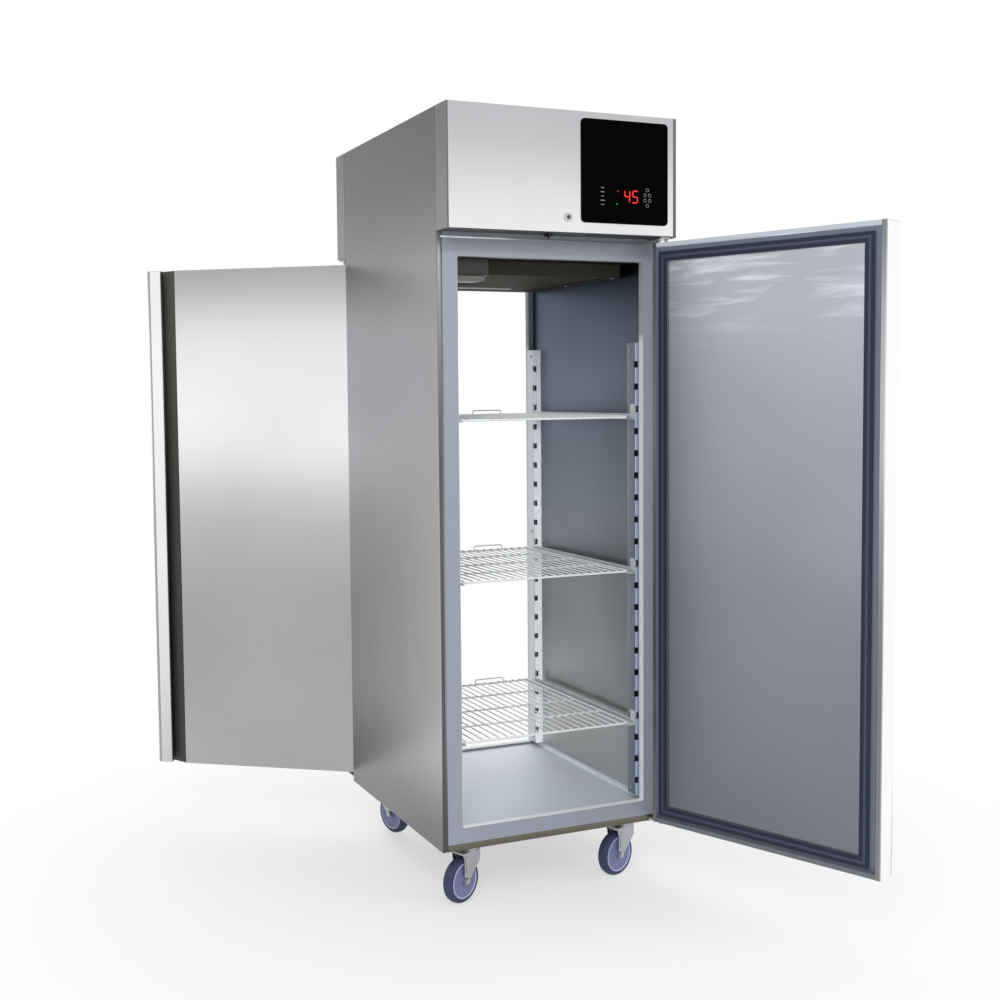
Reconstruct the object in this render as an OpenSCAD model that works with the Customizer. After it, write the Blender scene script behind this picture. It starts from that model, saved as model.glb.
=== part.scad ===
// Pass-through refrigerator: a foamed one-section cabinet with a full-height door at the front and
// another at the rear, three wire shelves on slotted uprights, an open-topped machine compartment
// behind a header, and four swivel castors.
// The origin is the centre of the cabinet's underside. The front faces -Y and +Z is up.

/* [Cabinet] */
// Width over the side panels
body_w = 686; // [640:1:760]
// Depth between the faces of the two door frames
body_d = 735; // [700:1:820]
// Height from the underside to the top of the header
body_h = 1980; // [1940:1:2060]
// Height of the machine compartment
header_h = 322; // [300:1:350]
// How far a header, and a closed door, stands out from the door frame
header_out = 75; // [70:1:90]
// Thickness of the outer steel sheet
sheet_t = 1.2; // [0.8:0.1:1.5]
// Width of the folded edge of a side panel, seen beside the door frame
edge_w = 16; // [12:1:20]
// Height of the folded edge of the base, seen below the door frame
base_lip = 18; // [14:1:24]
// Outer bend radius of the visible folds
bend_r = 2.5; // [2:0.5:4]

/* [Inside] */
// Width of the door frame beside the opening, folded edge included
jamb_w = 59; // [56:1:66]
// Height of the door frame below the opening, base edge included
sill_h = 60; // [50:1:70]
// Height of the door frame above the opening
lintel_h = 62; // [50:1:70]
// Depth of the door frame
frame_t = 22; // [18:1:30]
// Thickness of the foamed side wall
wall_t = 43; // [38:1:48]
// Thickness of the liner sheet
liner_t = 1; // [0.6:0.1:1.2]
// How far the floor lies below the sill
floor_drop = 6; // [4:1:12]
// How far the ceiling lies above the top of the opening
ceiling_rise = 4; // [2:1:10]
// Height that the air duct hangs below the ceiling
duct_h = 38; // [30:1:50]

/* [Doors] */
// Gap between a door's edge and the plane of the cabinet's side
door_gap = 1.5; // [1:0.5:3]
// Gap between the top of a door and the header
door_top_gap = 17; // [15:1:22]
// Height of a door's lower edge above the underside
door_lift = 18; // [16:1:24]
// Space between a closed door and its frame, filled by the gasket
gasket_space = 9; // [8:0.5:12]
// Width of the fold on the back of a door
door_fold = 13; // [10:1:16]
// Width of the grip strip along a door's free edge
lip_w = 47; // [40:1:55]
// Thickness of the grip strip
lip_t = 16; // [12:1:20]
// Width of the mouth of the finger groove beside the strip
groove_w = 50; // [45:1:60]
// How far the groove reaches in behind the strip
groove_reach = 26; // [20:1:32]
// Depth of the finger groove
groove_deep = 36; // [34:1:42]
// Thickness of a door's end caps
cap_t = 12; // [10:1:16]
// Distance of the hinge axis from the cabinet's side
hinge_in = 17; // [15:1:20]
// Distance of the hinge axis from the door frame's face
hinge_out = 54; // [50:1:58]
// Radius of a hinge pin
pin_r = 5; // [4:0.5:6]
// Opening of the front door as shown
front_open = 112.4; // [90:0.1:120]
// Opening of the rear door as shown
rear_open = 144; // [90:1:150]

/* [Shelves] */
// Gap between a shelf and the uprights at each side
shelf_side = 10; // [4:1:12]
// Gap between a shelf's end and the door frame
shelf_end = 20.5; // [16:0.5:60]
// Number of wires that run from front to back
wires = 21; // [15:1:25]
// Radius of a wire
wire_r = 1.9; // [1.5:0.1:2.2]
// Radius of the rim rod and the cross rods
rod_r = 3; // [2.5:0.1:3.5]
// Height of the upright slots' spacing
slot_pitch = 63; // [60:1:65]
// Number of slots in an upright
slots = 20; // [18:1:20]
// Height of the lowest slot
slot_z0 = 114; // [100:1:125]
// Height of a slot
slot_h = 18; // [12:1:20]
// Slots that the lower, middle and upper shelves hook into
shelf_slots = [3, 10, 17];
// Width of an upright's face
rack_w = 45; // [35:1:50]
// How far an upright stands off the wall
rack_out = 25; // [20:1:26]
// Distance of an upright from the door frame
rack_gap = 7; // [5:1:12]

/* [Castors] */
// Overall height of a castor
castor_h = 156; // [148:1:170]
// Diameter of a wheel
wheel_d = 125; // [110:1:128]
// Width of a wheel's tread
wheel_w = 32; // [25:1:36]
// Distance of the swivel axis from the cabinet's side
castor_in_x = 98; // [80:1:120]
// Distance of the swivel axis from the door frame's face
castor_in_y = 49; // [40:1:110]
// Distance from the swivel axis to the wheel axle
trail = 36; // [30:1:40]
// Headings of the wheels as shown: front left, front right, rear left, rear right
castor_turn = [206, 199, 286, 254];

/* [Header] */
// Width of the glass control panel
glass_w = 269; // [240:1:280]
// Height of the glass control panel
glass_h = 275; // [240:1:290]
// Distance from the glass to the header's right edge
glass_side = 28; // [20:1:40]
// Distance from the glass to the top of the header
glass_top = 18; // [15:1:25]
// Height of the lock's axis above the header's lower edge
lock_up = 41; // [36:1:45]
// Distance of the lock to the right of the centre
lock_x = 7; // [0:1:10]
// Radius of the lock's plug
plug_r = 6; // [5:0.5:7]

/* [Machinery] */
// Diameter of the compressor's shell
comp_d = 160; // [140:1:170]
// Height of the compressor's shell
comp_h = 190; // [170:1:210]
// Width of the condenser coil
coil_w = 250; // [220:1:280]
// Height of the condenser coil
coil_h = 230; // [200:1:250]
// Diameter of the condenser fan
fan_d = 200; // [180:1:210]
// Diameter of the evaporator fan
duct_fan_d = 160; // [140:1:170]
// Number of fan blades
blades = 5; // [4:1:7]
// Width of the electrical box
box_w = 89; // [80:1:100]
// Depth of the electrical box
box_d = 160; // [140:1:180]
// Height of the electrical box
box_h = 190; // [160:1:220]
// Length of the drier in the liquid line
drier_len = 100; // [80:1:120]

/* [Fits] */
// Radial clearance of a pin or axle in its hole
run = 0.05; // [0.02:0.01:0.1]
// Gap between curved faces that lie on each other
seat = 0.3; // [0.2:0.1:0.5]

/* [Hidden] */
$fn = 48;
hw = body_w / 2;
hd = body_d / 2;
header_z = body_h - header_h;
open_x = hw - jamb_w;
open_top = header_z - lintel_h;
in_x = hw - wall_t;
in_y = hd - frame_t;
floor_z = sill_h - floor_drop;
ceil_z = open_top + ceiling_rise;
front_y = -hd - header_out;
rack_x = in_x - rack_out;
fold_room = bend_r + 0.3;

door_w = body_w - 2 * door_gap;
door_t = header_out - gasket_space;
door_z0 = door_lift;
door_z1 = header_z - door_top_gap;
pivot = [hw - hinge_in, -hd - hinge_out];
pin_u = door_w - (hinge_in - door_gap);
pin_v = header_out - hinge_out;
bracket_t = 4;
pin_in = cap_t - 1;

lock_z = header_z + lock_up;
cam_len = lock_up + door_top_gap + 8;
cam_w = 16;
cam_t = 3;
cam_y = front_y + 25;
cam_room = 1.5;

glass_x = hw - glass_side - glass_w / 2;
glass_z = body_h - glass_top - glass_h / 2;
glass_t = 3;

duct_z = ceil_z - duct_h;
duct_x = in_x - 10;
duct_front = -in_y + 115;
duct_back = in_y - 15;
deck_z = header_z;
shaft_r = 4;
shaft_in = 20;
plenum = 190;

// The condenser keeps to the deck's right side, and the evaporator stands beside it
coil_side = 48;
coil_back = 152.5;
block_out = 16;
deck_gap = 19;
evap_w = 260;
evap_d = 400;
evap_h = 190;
evap_back = 107.5;
coil_at = [hw - coil_side - coil_w / 2, hd - coil_back];
fan_at = [coil_at[0] - coil_w / 2 - block_out - deck_gap - evap_w / 2, hd - evap_back - evap_d / 2];

axle_z = wheel_d / 2 - castor_h;
axle_r = 5;
king_r = 6;
race_r = 27;
race_t = 4;
crown_t = 3;
crown_z = -19;
fork_gap = wheel_w + 6;

// Geometry helpers

function unit(v) = v / norm(v);
function left(v) = [-v[1], v[0]];

// The point beside corner i of a path, at distance t to the path's left
function beside(p, i, t) =
  let (n = len(p),
       a = left(unit(i > 0 ? p[i] - p[i - 1] : p[1] - p[0])),
       b = left(unit(i < n - 1 ? p[i + 1] - p[i] : p[n - 1] - p[n - 2])))
  p[i] + t * (a + b) / (1 + a * b);
function side_line(p, t) = [for (i = [0 : len(p) - 1]) beside(p, i, t)];

// A path with each inner corner rounded to radius r in n steps
function bent(p, r, n = 4) = [for (i = [0 : len(p) - 1])
  if (i == 0 || i == len(p) - 1) p[i]
  else let (a = unit(p[i] - p[i - 1]), b = unit(p[i + 1] - p[i]),
            turn = atan2(a[0] * b[1] - a[1] * b[0], a * b),
            start = p[i] - a * r * tan(abs(turn) / 2),
            c = start + left(a) * r * sign(turn), s = start - c)
    each [for (k = [0 : n]) let (w = turn * k / n)
      c + [s[0] * cos(w) - s[1] * sin(w), s[0] * sin(w) + s[1] * cos(w)]]];

// Folded sheet: the band between a path and the line beside it
module fold(p, t) polygon(concat(p, [for (i = [len(p) - 1 : -1 : 0]) beside(p, i, t)]));

module box(lo, hi) translate(lo) cube(hi - lo);

// A flat rectangle with round corners, centred
module round_rect(w, h, r) {
  square([w - 2 * r, h], center = true);
  square([w, h - 2 * r], center = true);
  for (x = [-1, 1], y = [-1, 1]) translate([x * (w / 2 - r), y * (h / 2 - r)]) circle(r);
}

// Stands a flat drawing of X and Z upright, with its thickness along +Y from y
module upright(y, t) translate([0, y + t, 0]) rotate([90, 0, 0]) linear_extrude(t) children();

// Lays a drawing of Y and Z along X, from x0 to x1
module along_x(x0, x1) translate([x0, 0, 0]) rotate([90, 0, 90]) linear_extrude(x1 - x0) children();

// Lays a drawing of X and Z along Y, from y0 to y1
module along_y(y0, y1) translate([0, y1, 0]) rotate([90, 0, 0]) linear_extrude(y1 - y0) children();

module rod(a, b, r) {
  d = b - a;
  translate(a) rotate([0, acos(d[2] / norm(d)), atan2(d[1], d[0])]) cylinder(h = norm(d), r = r);
}

// Cabinet

module side_sheet() linear_extrude(body_h)
  fold(bent([[-hw + edge_w, hd], [-hw, hd], [-hw, -hd], [-hw + edge_w, -hd]], bend_r), sheet_t);
module side_panel_left() color("#9a9894") side_sheet();
module side_panel_right() color("#9a9894") mirror([1, 0, 0]) side_sheet();

module base_panel() color("#8f8d89") {
  along_x(-hw + edge_w, hw - edge_w)
    fold([[-hd, base_lip], [-hd, 0], [hd, 0], [hd, base_lip]], sheet_t);
  box([-hw + sheet_t, -hd + fold_room, 0], [hw - sheet_t, hd - fold_room, sheet_t]);
}

module insulation() color("#e6d9a8") difference() {
  box([-hw + sheet_t, -in_y, sheet_t], [hw - sheet_t, in_y, deck_z - sheet_t]);
  box([-in_x - liner_t, -hd, floor_z - liner_t], [in_x + liner_t, hd, ceil_z + liner_t]);
  translate([fan_at[0] - plenum / 2, fan_at[1] - plenum / 2, ceil_z]) cube([plenum, plenum, header_h]);
}

module liner_walls() color("#8d95a3")
  for (s = [-1, 1]) translate([s * (in_x + liner_t / 2) - liner_t / 2, -in_y, floor_z - liner_t])
    cube([liner_t, 2 * in_y, ceil_z - floor_z + 2 * liner_t]);

module liner_floor() color("#b8c4cc") along_y(-in_y, in_y)
  fold(bent([[-in_x, floor_z + 14], [-in_x, floor_z - liner_t], [in_x, floor_z - liner_t],
    [in_x, floor_z + 14]], 9), liner_t);

module liner_ceiling() color("#77756f") difference() {
  box([-in_x, -in_y, ceil_z], [in_x, in_y, ceil_z + liner_t]);
  translate([fan_at[0], fan_at[1], ceil_z - 1]) cylinder(h = liner_t + 2, r = duct_fan_d / 2 + 4);
}

// The frame that the gasket seals on: a front face between the folded edges, a wider body behind
module door_frame() difference() {
  union() {
    box([-hw + edge_w, -hd, base_lip], [hw - edge_w, -hd + sheet_t, header_z]);
    box([-hw + fold_room, -hd + sheet_t, sheet_t], [hw - fold_room, -in_y, header_z]);
    box([-hw + sheet_t, -hd + fold_room, sheet_t], [hw - sheet_t, -in_y, header_z]);
  }
  upright(-hd - 1, frame_t + 2) translate([0, (sill_h + open_top) / 2])
    round_rect(2 * open_x, open_top - sill_h, 5);
}
module front_frame() color("#a0a5b5") door_frame();
module rear_frame() color("#a0a5b5") rotate(180) door_frame();

module top_deck() color("#8f8d89") difference() {
  box([-hw + sheet_t, -in_y, deck_z - sheet_t], [hw - sheet_t, in_y, deck_z]);
  translate([fan_at[0] - plenum / 2, fan_at[1] - plenum / 2, deck_z - 2 * sheet_t])
    cube([plenum, plenum, 4 * sheet_t]);
}

// Headers

module header_box() {
  along_x(-hw, hw)
    fold(bent([[-hd, body_h], [front_y, body_h], [front_y, header_z], [-hd, header_z]], bend_r), sheet_t);
  for (s = [0, 1]) mirror([s, 0, 0]) {
    box([-hw, front_y + sheet_t, header_z + sheet_t], [-hw + sheet_t, -hd, body_h - sheet_t]);
    box([-hw, -hd - sheet_t, header_z + sheet_t], [-hw + edge_w, -hd, body_h - sheet_t]);
  }
}

module glass_outline(inset = 0)
  translate([glass_x, glass_z]) round_rect(glass_w - 2 * inset, glass_h - 2 * inset, 12 - inset / 2);

module front_header() color("#d9d9dc") difference() {
  header_box();
  upright(front_y - 1, sheet_t + 2) glass_outline(10);
  translate([lock_x, front_y - 1, lock_z]) rotate([-90, 0, 0]) cylinder(h = sheet_t + 2, r = 9.5 + run);
  // Slot that the lock's cam swings down through
  box([lock_x - cam_w / 2 - cam_room, cam_y - cam_room, header_z - 1],
    [lock_x + lock_up * 1.3 + cam_w, cam_y + cam_t + cam_room, header_z + sheet_t + 1]);
}

louvre_w = 150;
louvre_h = 10;
louvre_out = 8;
louvre_pitch = 22;
louvre_rows = 10;
louvre_cols = 3;
module at_louvres() for (c = [0 : louvre_cols - 1], r = [0 : louvre_rows - 1])
  translate([(c - (louvre_cols - 1) / 2) * (louvre_w + 40), front_y,
    header_z + header_h / 2 + (r - (louvre_rows - 1) / 2) * louvre_pitch]) children();

// One pressed louvre: a sloping hood, open below, closed at its ends and rooted in the sheet
module louvre() difference() {
  along_x(-louvre_w / 2, louvre_w / 2) polygon([[sheet_t / 2, -0.5], [-louvre_out, -0.5],
    [-louvre_out, 1], [sheet_t / 2, louvre_h + 2 * sheet_t]]);
  along_x(-louvre_w / 2 + sheet_t, louvre_w / 2 - sheet_t) polygon([[sheet_t, -1], [-louvre_out + 1.5, -1],
    [-louvre_out + 1.5, 0.5], [sheet_t, louvre_h]]);
}
module rear_header() color("#b4b4b6") rotate(180) {
  difference() {
    header_box();
    at_louvres() box([-louvre_w / 2 + 2 * sheet_t, -1, 1],
      [louvre_w / 2 - 2 * sheet_t, sheet_t + 1, louvre_h - 1]);
  }
  at_louvres() louvre();
}

module control_glass() color("#0b0b0d") upright(front_y - glass_t, glass_t) glass_outline();

module control_board() color("#1e4a34") {
  upright(front_y, 2) translate([glass_x + 35, glass_z - 40]) round_rect(150, 120, 4);
  upright(front_y + 2, 22) translate([glass_x + 35, glass_z - 40]) round_rect(130, 100, 6);
}

module lock_barrel() color("#c8c8ca") translate([lock_x, front_y, lock_z]) rotate([-90, 0, 0])
  difference() {
    union() {
      translate([0, 0, -3]) cylinder(h = 3, r = 12);
      cylinder(h = cam_y - front_y - seat, r = 9.5);
      translate([0, 0, sheet_t + seat]) cylinder(h = 5, r = 13, $fn = 6);
    }
    translate([0, 0, -4]) cylinder(h = cam_y - front_y + 5, r = plug_r + run);
  }

// The plug, its keyway, and the cam that swings down into the door's top cap
module lock_plug() color("#a9a9ac") {
  difference() {
    translate([lock_x, front_y - 2.6, lock_z]) rotate([-90, 0, 0])
      cylinder(h = cam_y - front_y + 2.6, r = plug_r);
    box([lock_x - 4, front_y - 4, lock_z - 0.8], [lock_x + 4, front_y + 10, lock_z + 0.8]);
  }
  upright(cam_y, cam_t) {
    translate([lock_x, lock_z]) circle(cam_w / 2);
    translate([lock_x, lock_z - cam_w / 2 + 1]) square([cam_len - cam_w / 2, cam_w - 2]);
    translate([lock_x + cam_len - cam_w / 2, lock_z]) circle(cam_w / 2 - 1);
  }
}

module door_switch() color("#26262a") {
  box([-32, front_y + 42, header_z - 5], [-18, front_y + 66, header_z]);
  translate([-25, front_y + 54, header_z - 11]) cylinder(h = 6, r = 3.5);
}

// Uprights, runners and shelves

slot_in = 10;
function slot_z(i) = slot_z0 + i * slot_pitch;
rack_t = 1.2;
rack_z0 = slot_z0 - 45;
rack_z1 = slot_z(slots - 1) + 61;
rack_y = in_y - rack_gap;

// A channel on the right wall from y on, slotted through the corner that faces the front
module rack(y) difference() {
  translate([0, 0, rack_z0]) linear_extrude(rack_z1 - rack_z0)
    fold(bent([[in_x, y], [rack_x, y], [rack_x, y + rack_w], [in_x, y + rack_w]], 2, 3), -rack_t);
  for (i = [0 : slots - 1]) translate([rack_x - 1, y - 1, slot_z(i) - slot_h / 2])
    cube([slot_in + 1, slot_in + 1, slot_h]);
}
rear_rack_y = rack_y - rack_w;
module racks() for (y = [-rack_y, rear_rack_y]) rack(y);
module racks_right() color("#a9adb3") racks();
module racks_left() color("#a9adb3") mirror([1, 0, 0]) racks();

runner_t = 1.5;
runner_in = 20;
runner_drop = 27;
runner_rise = 14;
ear_w = slot_in + 14;
tab_w = 3;
tab_in = 6;
function ledge_z(i) = slot_z(i) - runner_drop;
shelf_w = 2 * (rack_x - shelf_side);
shelf_d = 2 * (in_y - shelf_end);
side_x = shelf_w / 2 - rod_r;

// An angle on the right uprights: its ledge carries the shelf's side rod, and a raised ear at each
// upright has a tab in the slot above
module runner(i) {
  z = ledge_z(i);
  along_y(-rack_y + 2, rack_y - 2)
    fold([[rack_x - runner_in, z - runner_t], [rack_x, z - runner_t], [rack_x, z + runner_rise]], runner_t);
  for (y = [-rack_y + 2, rear_rack_y + 2]) {
    box([rack_x - runner_t, y, z], [rack_x, y + ear_w, slot_z(i) + slot_h / 2 + 4]);
    box([rack_x - runner_t, y + 2, slot_z(i) - slot_h / 2 + 2],
      [rack_x + tab_in, y + 2 + tab_w, slot_z(i) + slot_h / 2 - 2]);
  }
}
module shelf_runners() color("#b4b8bc") for (i = shelf_slots, s = [0, 1]) mirror([s, 0, 0]) runner(i);

// Rim rod with round corners, cross rods at the rim's level, wires welded on top, and two low stops
// at the rear
module shelf(i) color("#cfd6da") {
  z = ledge_z(i) + seat + rod_r;
  y = shelf_d / 2 - rod_r;
  c = 14;
  for (s = [-1, 1]) {
    rod([s * side_x, -y + c, z], [s * side_x, y - c, z], rod_r);
    rod([-side_x + c, s * y, z], [side_x - c, s * y, z], rod_r);
    for (t = [-1, 1]) translate([s * (side_x - c), t * (y - c), z])
      rotate(s > 0 ? (t > 0 ? 0 : -90) : (t > 0 ? 90 : 180))
        rotate_extrude(angle = 90) translate([c, 0]) circle(rod_r);
  }
  for (k = [-1 : 1]) translate([0, k * shelf_d / 4, z + 0.5])
    rod([-side_x, 0, 0], [side_x, 0, 0], rod_r - 0.5);
  top = z + rod_r + wire_r - 0.6;
  for (k = [0 : wires - 1]) {
    x = (k - (wires - 1) / 2) * (2 * side_x - 20) / (wires - 1);
    rod([x, -y - 1, top], [x, y + 1, top], wire_r);
  }
  for (s = [-1, 1]) stop_loop(s * side_x * 0.45, y, z);
}

// A low wire bridge that keeps goods from sliding off
module stop_loop(x, y, z) {
  w = 50;
  h = 16;
  tube_run([[x - w, y, z], [x - w, y, z + h], [x + w, y, z + h], [x + w, y, z]], wire_r, 7);
}
module shelf_lower() shelf(shelf_slots[0]);
module shelf_middle() shelf(shelf_slots[1]);
module shelf_upper() shelf(shelf_slots[2]);

// Air duct under the ceiling, with the fan's ring guard and two rows of outlets

guard_rings = 6;
guard_hub = 20;
guard_pitch = 11;
guard_gap = 7;
guard_rim = 5;
outlet = 30;
module air_duct() color("#6d6b64") difference() {
  union() {
    along_y(duct_front, duct_back)
      fold(bent([[-duct_x, ceil_z], [-duct_x, duct_z], [duct_x, duct_z], [duct_x, ceil_z]], 4), liner_t);
    for (y = [duct_front, duct_back - liner_t])
      box([-duct_x + liner_t, y, duct_z + liner_t], [duct_x - liner_t, y + liner_t, ceil_z]);
  }
  for (k = [1 : guard_rings]) difference() {
    translate([fan_at[0], fan_at[1], duct_z - 1]) difference() {
      cylinder(h = liner_t + 2, r = guard_hub + guard_pitch * k);
      translate([0, 0, -1]) cylinder(h = liner_t + 4, r = guard_hub + guard_pitch * k - guard_gap);
    }
    for (a = [0, 90]) translate([fan_at[0], fan_at[1], duct_z]) rotate(a + 45)
      cube([2 * duct_fan_d, 5, 10], center = true);
  }
  // The outlets leave a rim of sheet round the guard
  difference() {
    for (s = [-1, 1], k = [0 : 8])
      translate([s * (duct_x - 40) - outlet / 2, duct_front + 40 + k * 55, duct_z - 1])
        cube([outlet, outlet, liner_t + 2]);
    translate([fan_at[0], fan_at[1], duct_z - 2])
      cylinder(h = liner_t + 4, r = guard_hub + guard_pitch * guard_rings + guard_rim);
  }
}

module interior_lamp() color("#b9b8b2") {
  along_x(-in_x + 4, -in_x + 126) fold(bent([[duct_front - 8, ceil_z], [duct_front - 8, ceil_z - 50],
    [-in_y + 20, ceil_z - 50], [-in_y + 20, ceil_z]], 5), -1.5);
  for (x = [-in_x + 4, -in_x + 124.5])
    box([x, -in_y + 21.5, ceil_z - 48.5], [x + 1.5, duct_front - 9.5, ceil_z]);
}

// A fan: hub and pitched blades, axis along +Z, centred on the origin
module fan(d, h) {
  cylinder(h = h, r = d * 0.17, center = true);
  intersection() {
    for (k = [0 : blades - 1]) rotate(k * 360 / blades) rotate([28, 0, 0])
      translate([0, -d * 0.16, -1]) cube([d / 2, d * 0.32, 2]);
    cylinder(h = h + 10, r = d / 2 - 4, center = true);
  }
}
fan_z = (duct_z + ceil_z) / 2;
motor_z = deck_z - 45;
module evaporator_fan() color("#3a3d42") translate([fan_at[0], fan_at[1], 0]) {
  translate([0, 0, fan_z]) fan(duct_fan_d, 14);
  translate([0, 0, fan_z]) cylinder(h = motor_z + shaft_in - fan_z, r = shaft_r);
}

// The fan's motor, hung in the plenum from a stay that rests on the deck
module fan_motor() color("#4a4d52") translate([fan_at[0], fan_at[1], 0]) difference() {
  union() {
    translate([0, 0, motor_z]) cylinder(h = deck_z - motor_z, r = 32);
    translate([-plenum / 2 - 12, -15, deck_z]) cube([plenum + 24, 30, 3]);
  }
  translate([0, 0, motor_z - 1]) cylinder(h = shaft_in + 3, r = shaft_r + run);
}

evap_lo = [fan_at[0] - evap_w / 2, fan_at[1] - evap_d / 2, deck_z];
evap_hi = [fan_at[0] + evap_w / 2, fan_at[1] + evap_d / 2, deck_z + evap_h];
module evaporator_housing() color("#c9cacc") difference() {
  box(evap_lo, evap_hi);
  box(evap_lo + [15, 15, -1], evap_hi - [15, 15, 15]);
}

// Fin pack with its tube rows
module coil(w, d, h, fins) {
  for (k = [0 : fins - 1]) translate([-w / 2 + k * (w - 1) / (fins - 1), -d / 2, 0]) cube([1, d, h]);
  for (r = [0.2, 0.4, 0.6, 0.8]) for (y = [-d / 4, d / 4])
    rod([-w / 2 - 6, y, h * r], [w / 2 + 6, y, h * r], 4);
}
module evaporator_coil() color("#b9bcc0") translate([fan_at[0], fan_at[1] + 110, deck_z + 20]) {
  coil(evap_w - 60, 80, evap_h - 70, 25);
  for (s = [-1, 1]) translate([s * 90, 0, -20]) box([-6, -30, 0], [6, 30, 20]);
}

// Condensing set

comp_side = 53;
comp_front = 77.5;
comp_at = [hw - comp_side - comp_d / 2, -hd + comp_front + comp_d / 2];
module compressor() color("#202124") translate([comp_at[0], comp_at[1], deck_z]) {
  rotate_extrude() polygon(bent([[0, 22], [comp_d / 2 - 12, 22], [comp_d / 2 - 3, 40],
    [comp_d / 2, comp_h * 0.5], [comp_d / 2 - 4, comp_h - 25], [comp_d / 4, comp_h], [0, comp_h]], 8, 5));
  translate([0, 0, comp_h * 0.55]) cylinder(h = 4, r = comp_d / 2 + 3);
  for (a = [45 : 90 : 315]) rotate(a) {
    translate([comp_d / 2 - 25, -14, 14]) cube([40, 28, 9]);
    translate([comp_d / 2, 0, 0]) cylinder(h = 14, r = 11);
  }
}

coil_z = 25;
coil_deep = 66;
line_in = 20;
module condenser_coil() color("#8b8e92") translate([coil_at[0], coil_at[1], deck_z + coil_z]) {
  coil(coil_w, coil_deep, coil_h, 31);
  for (s = [-1, 1]) translate([s * (coil_w / 2 - 15), 0, -coil_z]) box([-8, -30, 0], [8, 30, coil_z]);
  // Inlet block on top and outlet block on the left end
  translate([comp_at[0] + line_in - coil_at[0] - 12, -15, coil_h]) cube([24, 30, 12]);
  box([-coil_w / 2 - block_out, -20, 30], [-coil_w / 2, 20, 60]);
}

// Shroud with the fan's opening, seated on the coil's front side, and the motor on its three-arm stay
shroud_t = 30;
shroud_y = -coil_deep / 2 - seat;
hot_motor_r = 28;
hot_motor_l = 28;
stay_y = shroud_y - shroud_t - 33;
stay_r = fan_d / 2 + 6;
module condenser_shroud() color("#3a3c40") translate([coil_at[0], coil_at[1], deck_z + coil_z]) {
  difference() {
    box([-coil_w / 2, shroud_y - shroud_t, 0], [coil_w / 2, shroud_y, coil_h]);
    box([-coil_w / 2 + 2, shroud_y - shroud_t + 2, 2], [coil_w / 2 - 2, shroud_y + 1, coil_h - 2]);
    translate([0, shroud_y - shroud_t - 7, coil_h / 2]) rotate([-90, 0, 0])
      cylinder(h = 20, r = fan_d / 2 + 3);
  }
  translate([0, stay_y - 4, coil_h / 2]) rotate([-90, 0, 0]) {
    difference() {
      cylinder(h = hot_motor_l, r = hot_motor_r);
      translate([0, 0, hot_motor_l - shaft_in - 2]) cylinder(h = shaft_in + 3, r = shaft_r + run);
    }
    for (a = [90, 210, 330]) rotate(a) translate([20, -3, 4]) cube([stay_r - 20, 6, 3]);
  }
  for (a = [90, 210, 330]) translate([stay_r * cos(a), stay_y, coil_h / 2 - stay_r * sin(a)])
    rotate([-90, 0, 0]) cylinder(h = 34, r = 4);
}
module condenser_fan() color("#2c2e33")
  translate([coil_at[0], coil_at[1] + stay_y + 40, deck_z + coil_z + coil_h / 2]) rotate([-90, 0, 0]) {
    fan(fan_d, 16);
    translate([0, 0, -16 - shaft_in]) cylinder(h = 16 + shaft_in, r = shaft_r);
  }

module electrical_box() color("#d4d5d7") {
  translate([-hw + sheet_t, -hd + 30, deck_z + 60]) {
    cube([box_w, box_d, box_h]);
    translate([box_w, box_d / 2, 30]) rotate([0, 90, 0]) cylinder(h = 12, r = 9);
  }
}

// Tube along square corners, each bent to radius bend
module tube_run(p, r, bend = 12) {
  n = len(p) - 1;
  for (i = [0 : n - 1]) {
    a = unit(p[i + 1] - p[i]);
    rod(p[i] + a * (i > 0 ? bend : 0), p[i + 1] - a * (i < n - 1 ? bend : 0), r);
  }
  for (i = [1 : n - 1]) {
    a = unit(p[i] - p[i - 1]);
    b = unit(p[i + 1] - p[i]);
    c = p[i] + (b - a) * bend;
    z = cross(a, b);
    multmatrix([for (k = [0 : 2]) [-b[k], a[k], z[k], c[k]]])
      rotate_extrude(angle = 90) translate([bend, 0]) circle(r);
  }
}

// Copper lines between the compressor, the coils and the drier
tube_r = 4;
drier_r = 11;
manifold_x = coil_at[0] - (coil_w + block_out) / 2;
module pipework() color("#b87333") {
  top = deck_z + comp_h;
  over = deck_z + coil_z + coil_h + 35;
  cx = comp_at[0] + line_in;
  cy = comp_at[1];
  // Discharge line to the condenser's inlet
  tube_run([[cx, cy, top], [cx, cy, over], [cx, coil_at[1], over],
    [cx, coil_at[1], deck_z + coil_z + coil_h + 12]], tube_r);
  // Suction line from the evaporator
  ex = evap_hi[0] - 40;
  ey = evap_lo[1] + 80;
  sx = comp_at[0] - 22;
  tube_run([[ex, ey, evap_hi[2]], [ex, ey, top + 35], [sx, ey, top + 35], [sx, cy, top + 35], [sx, cy, top]],
    tube_r);
  // Liquid line through the drier
  low = deck_z + 20;
  drier_y = coil_at[1] - coil_deep / 2 - drier_len - 97;
  tube_run([[manifold_x, coil_at[1], deck_z + coil_z + 30], [manifold_x, coil_at[1], low],
    [manifold_x, drier_y + drier_len, low]], tube_r);
  rod([manifold_x, drier_y, low], [manifold_x, drier_y + drier_len, low], drier_r);
  tube_run([[manifold_x, drier_y, low], [manifold_x, drier_y - 40, low], [evap_hi[0], drier_y - 40, low]],
    tube_r);
  translate([manifold_x - 8, drier_y + drier_len / 2 - 10, deck_z]) cube([16, 20, low - deck_z]);
}

// Hinges and doors

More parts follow.
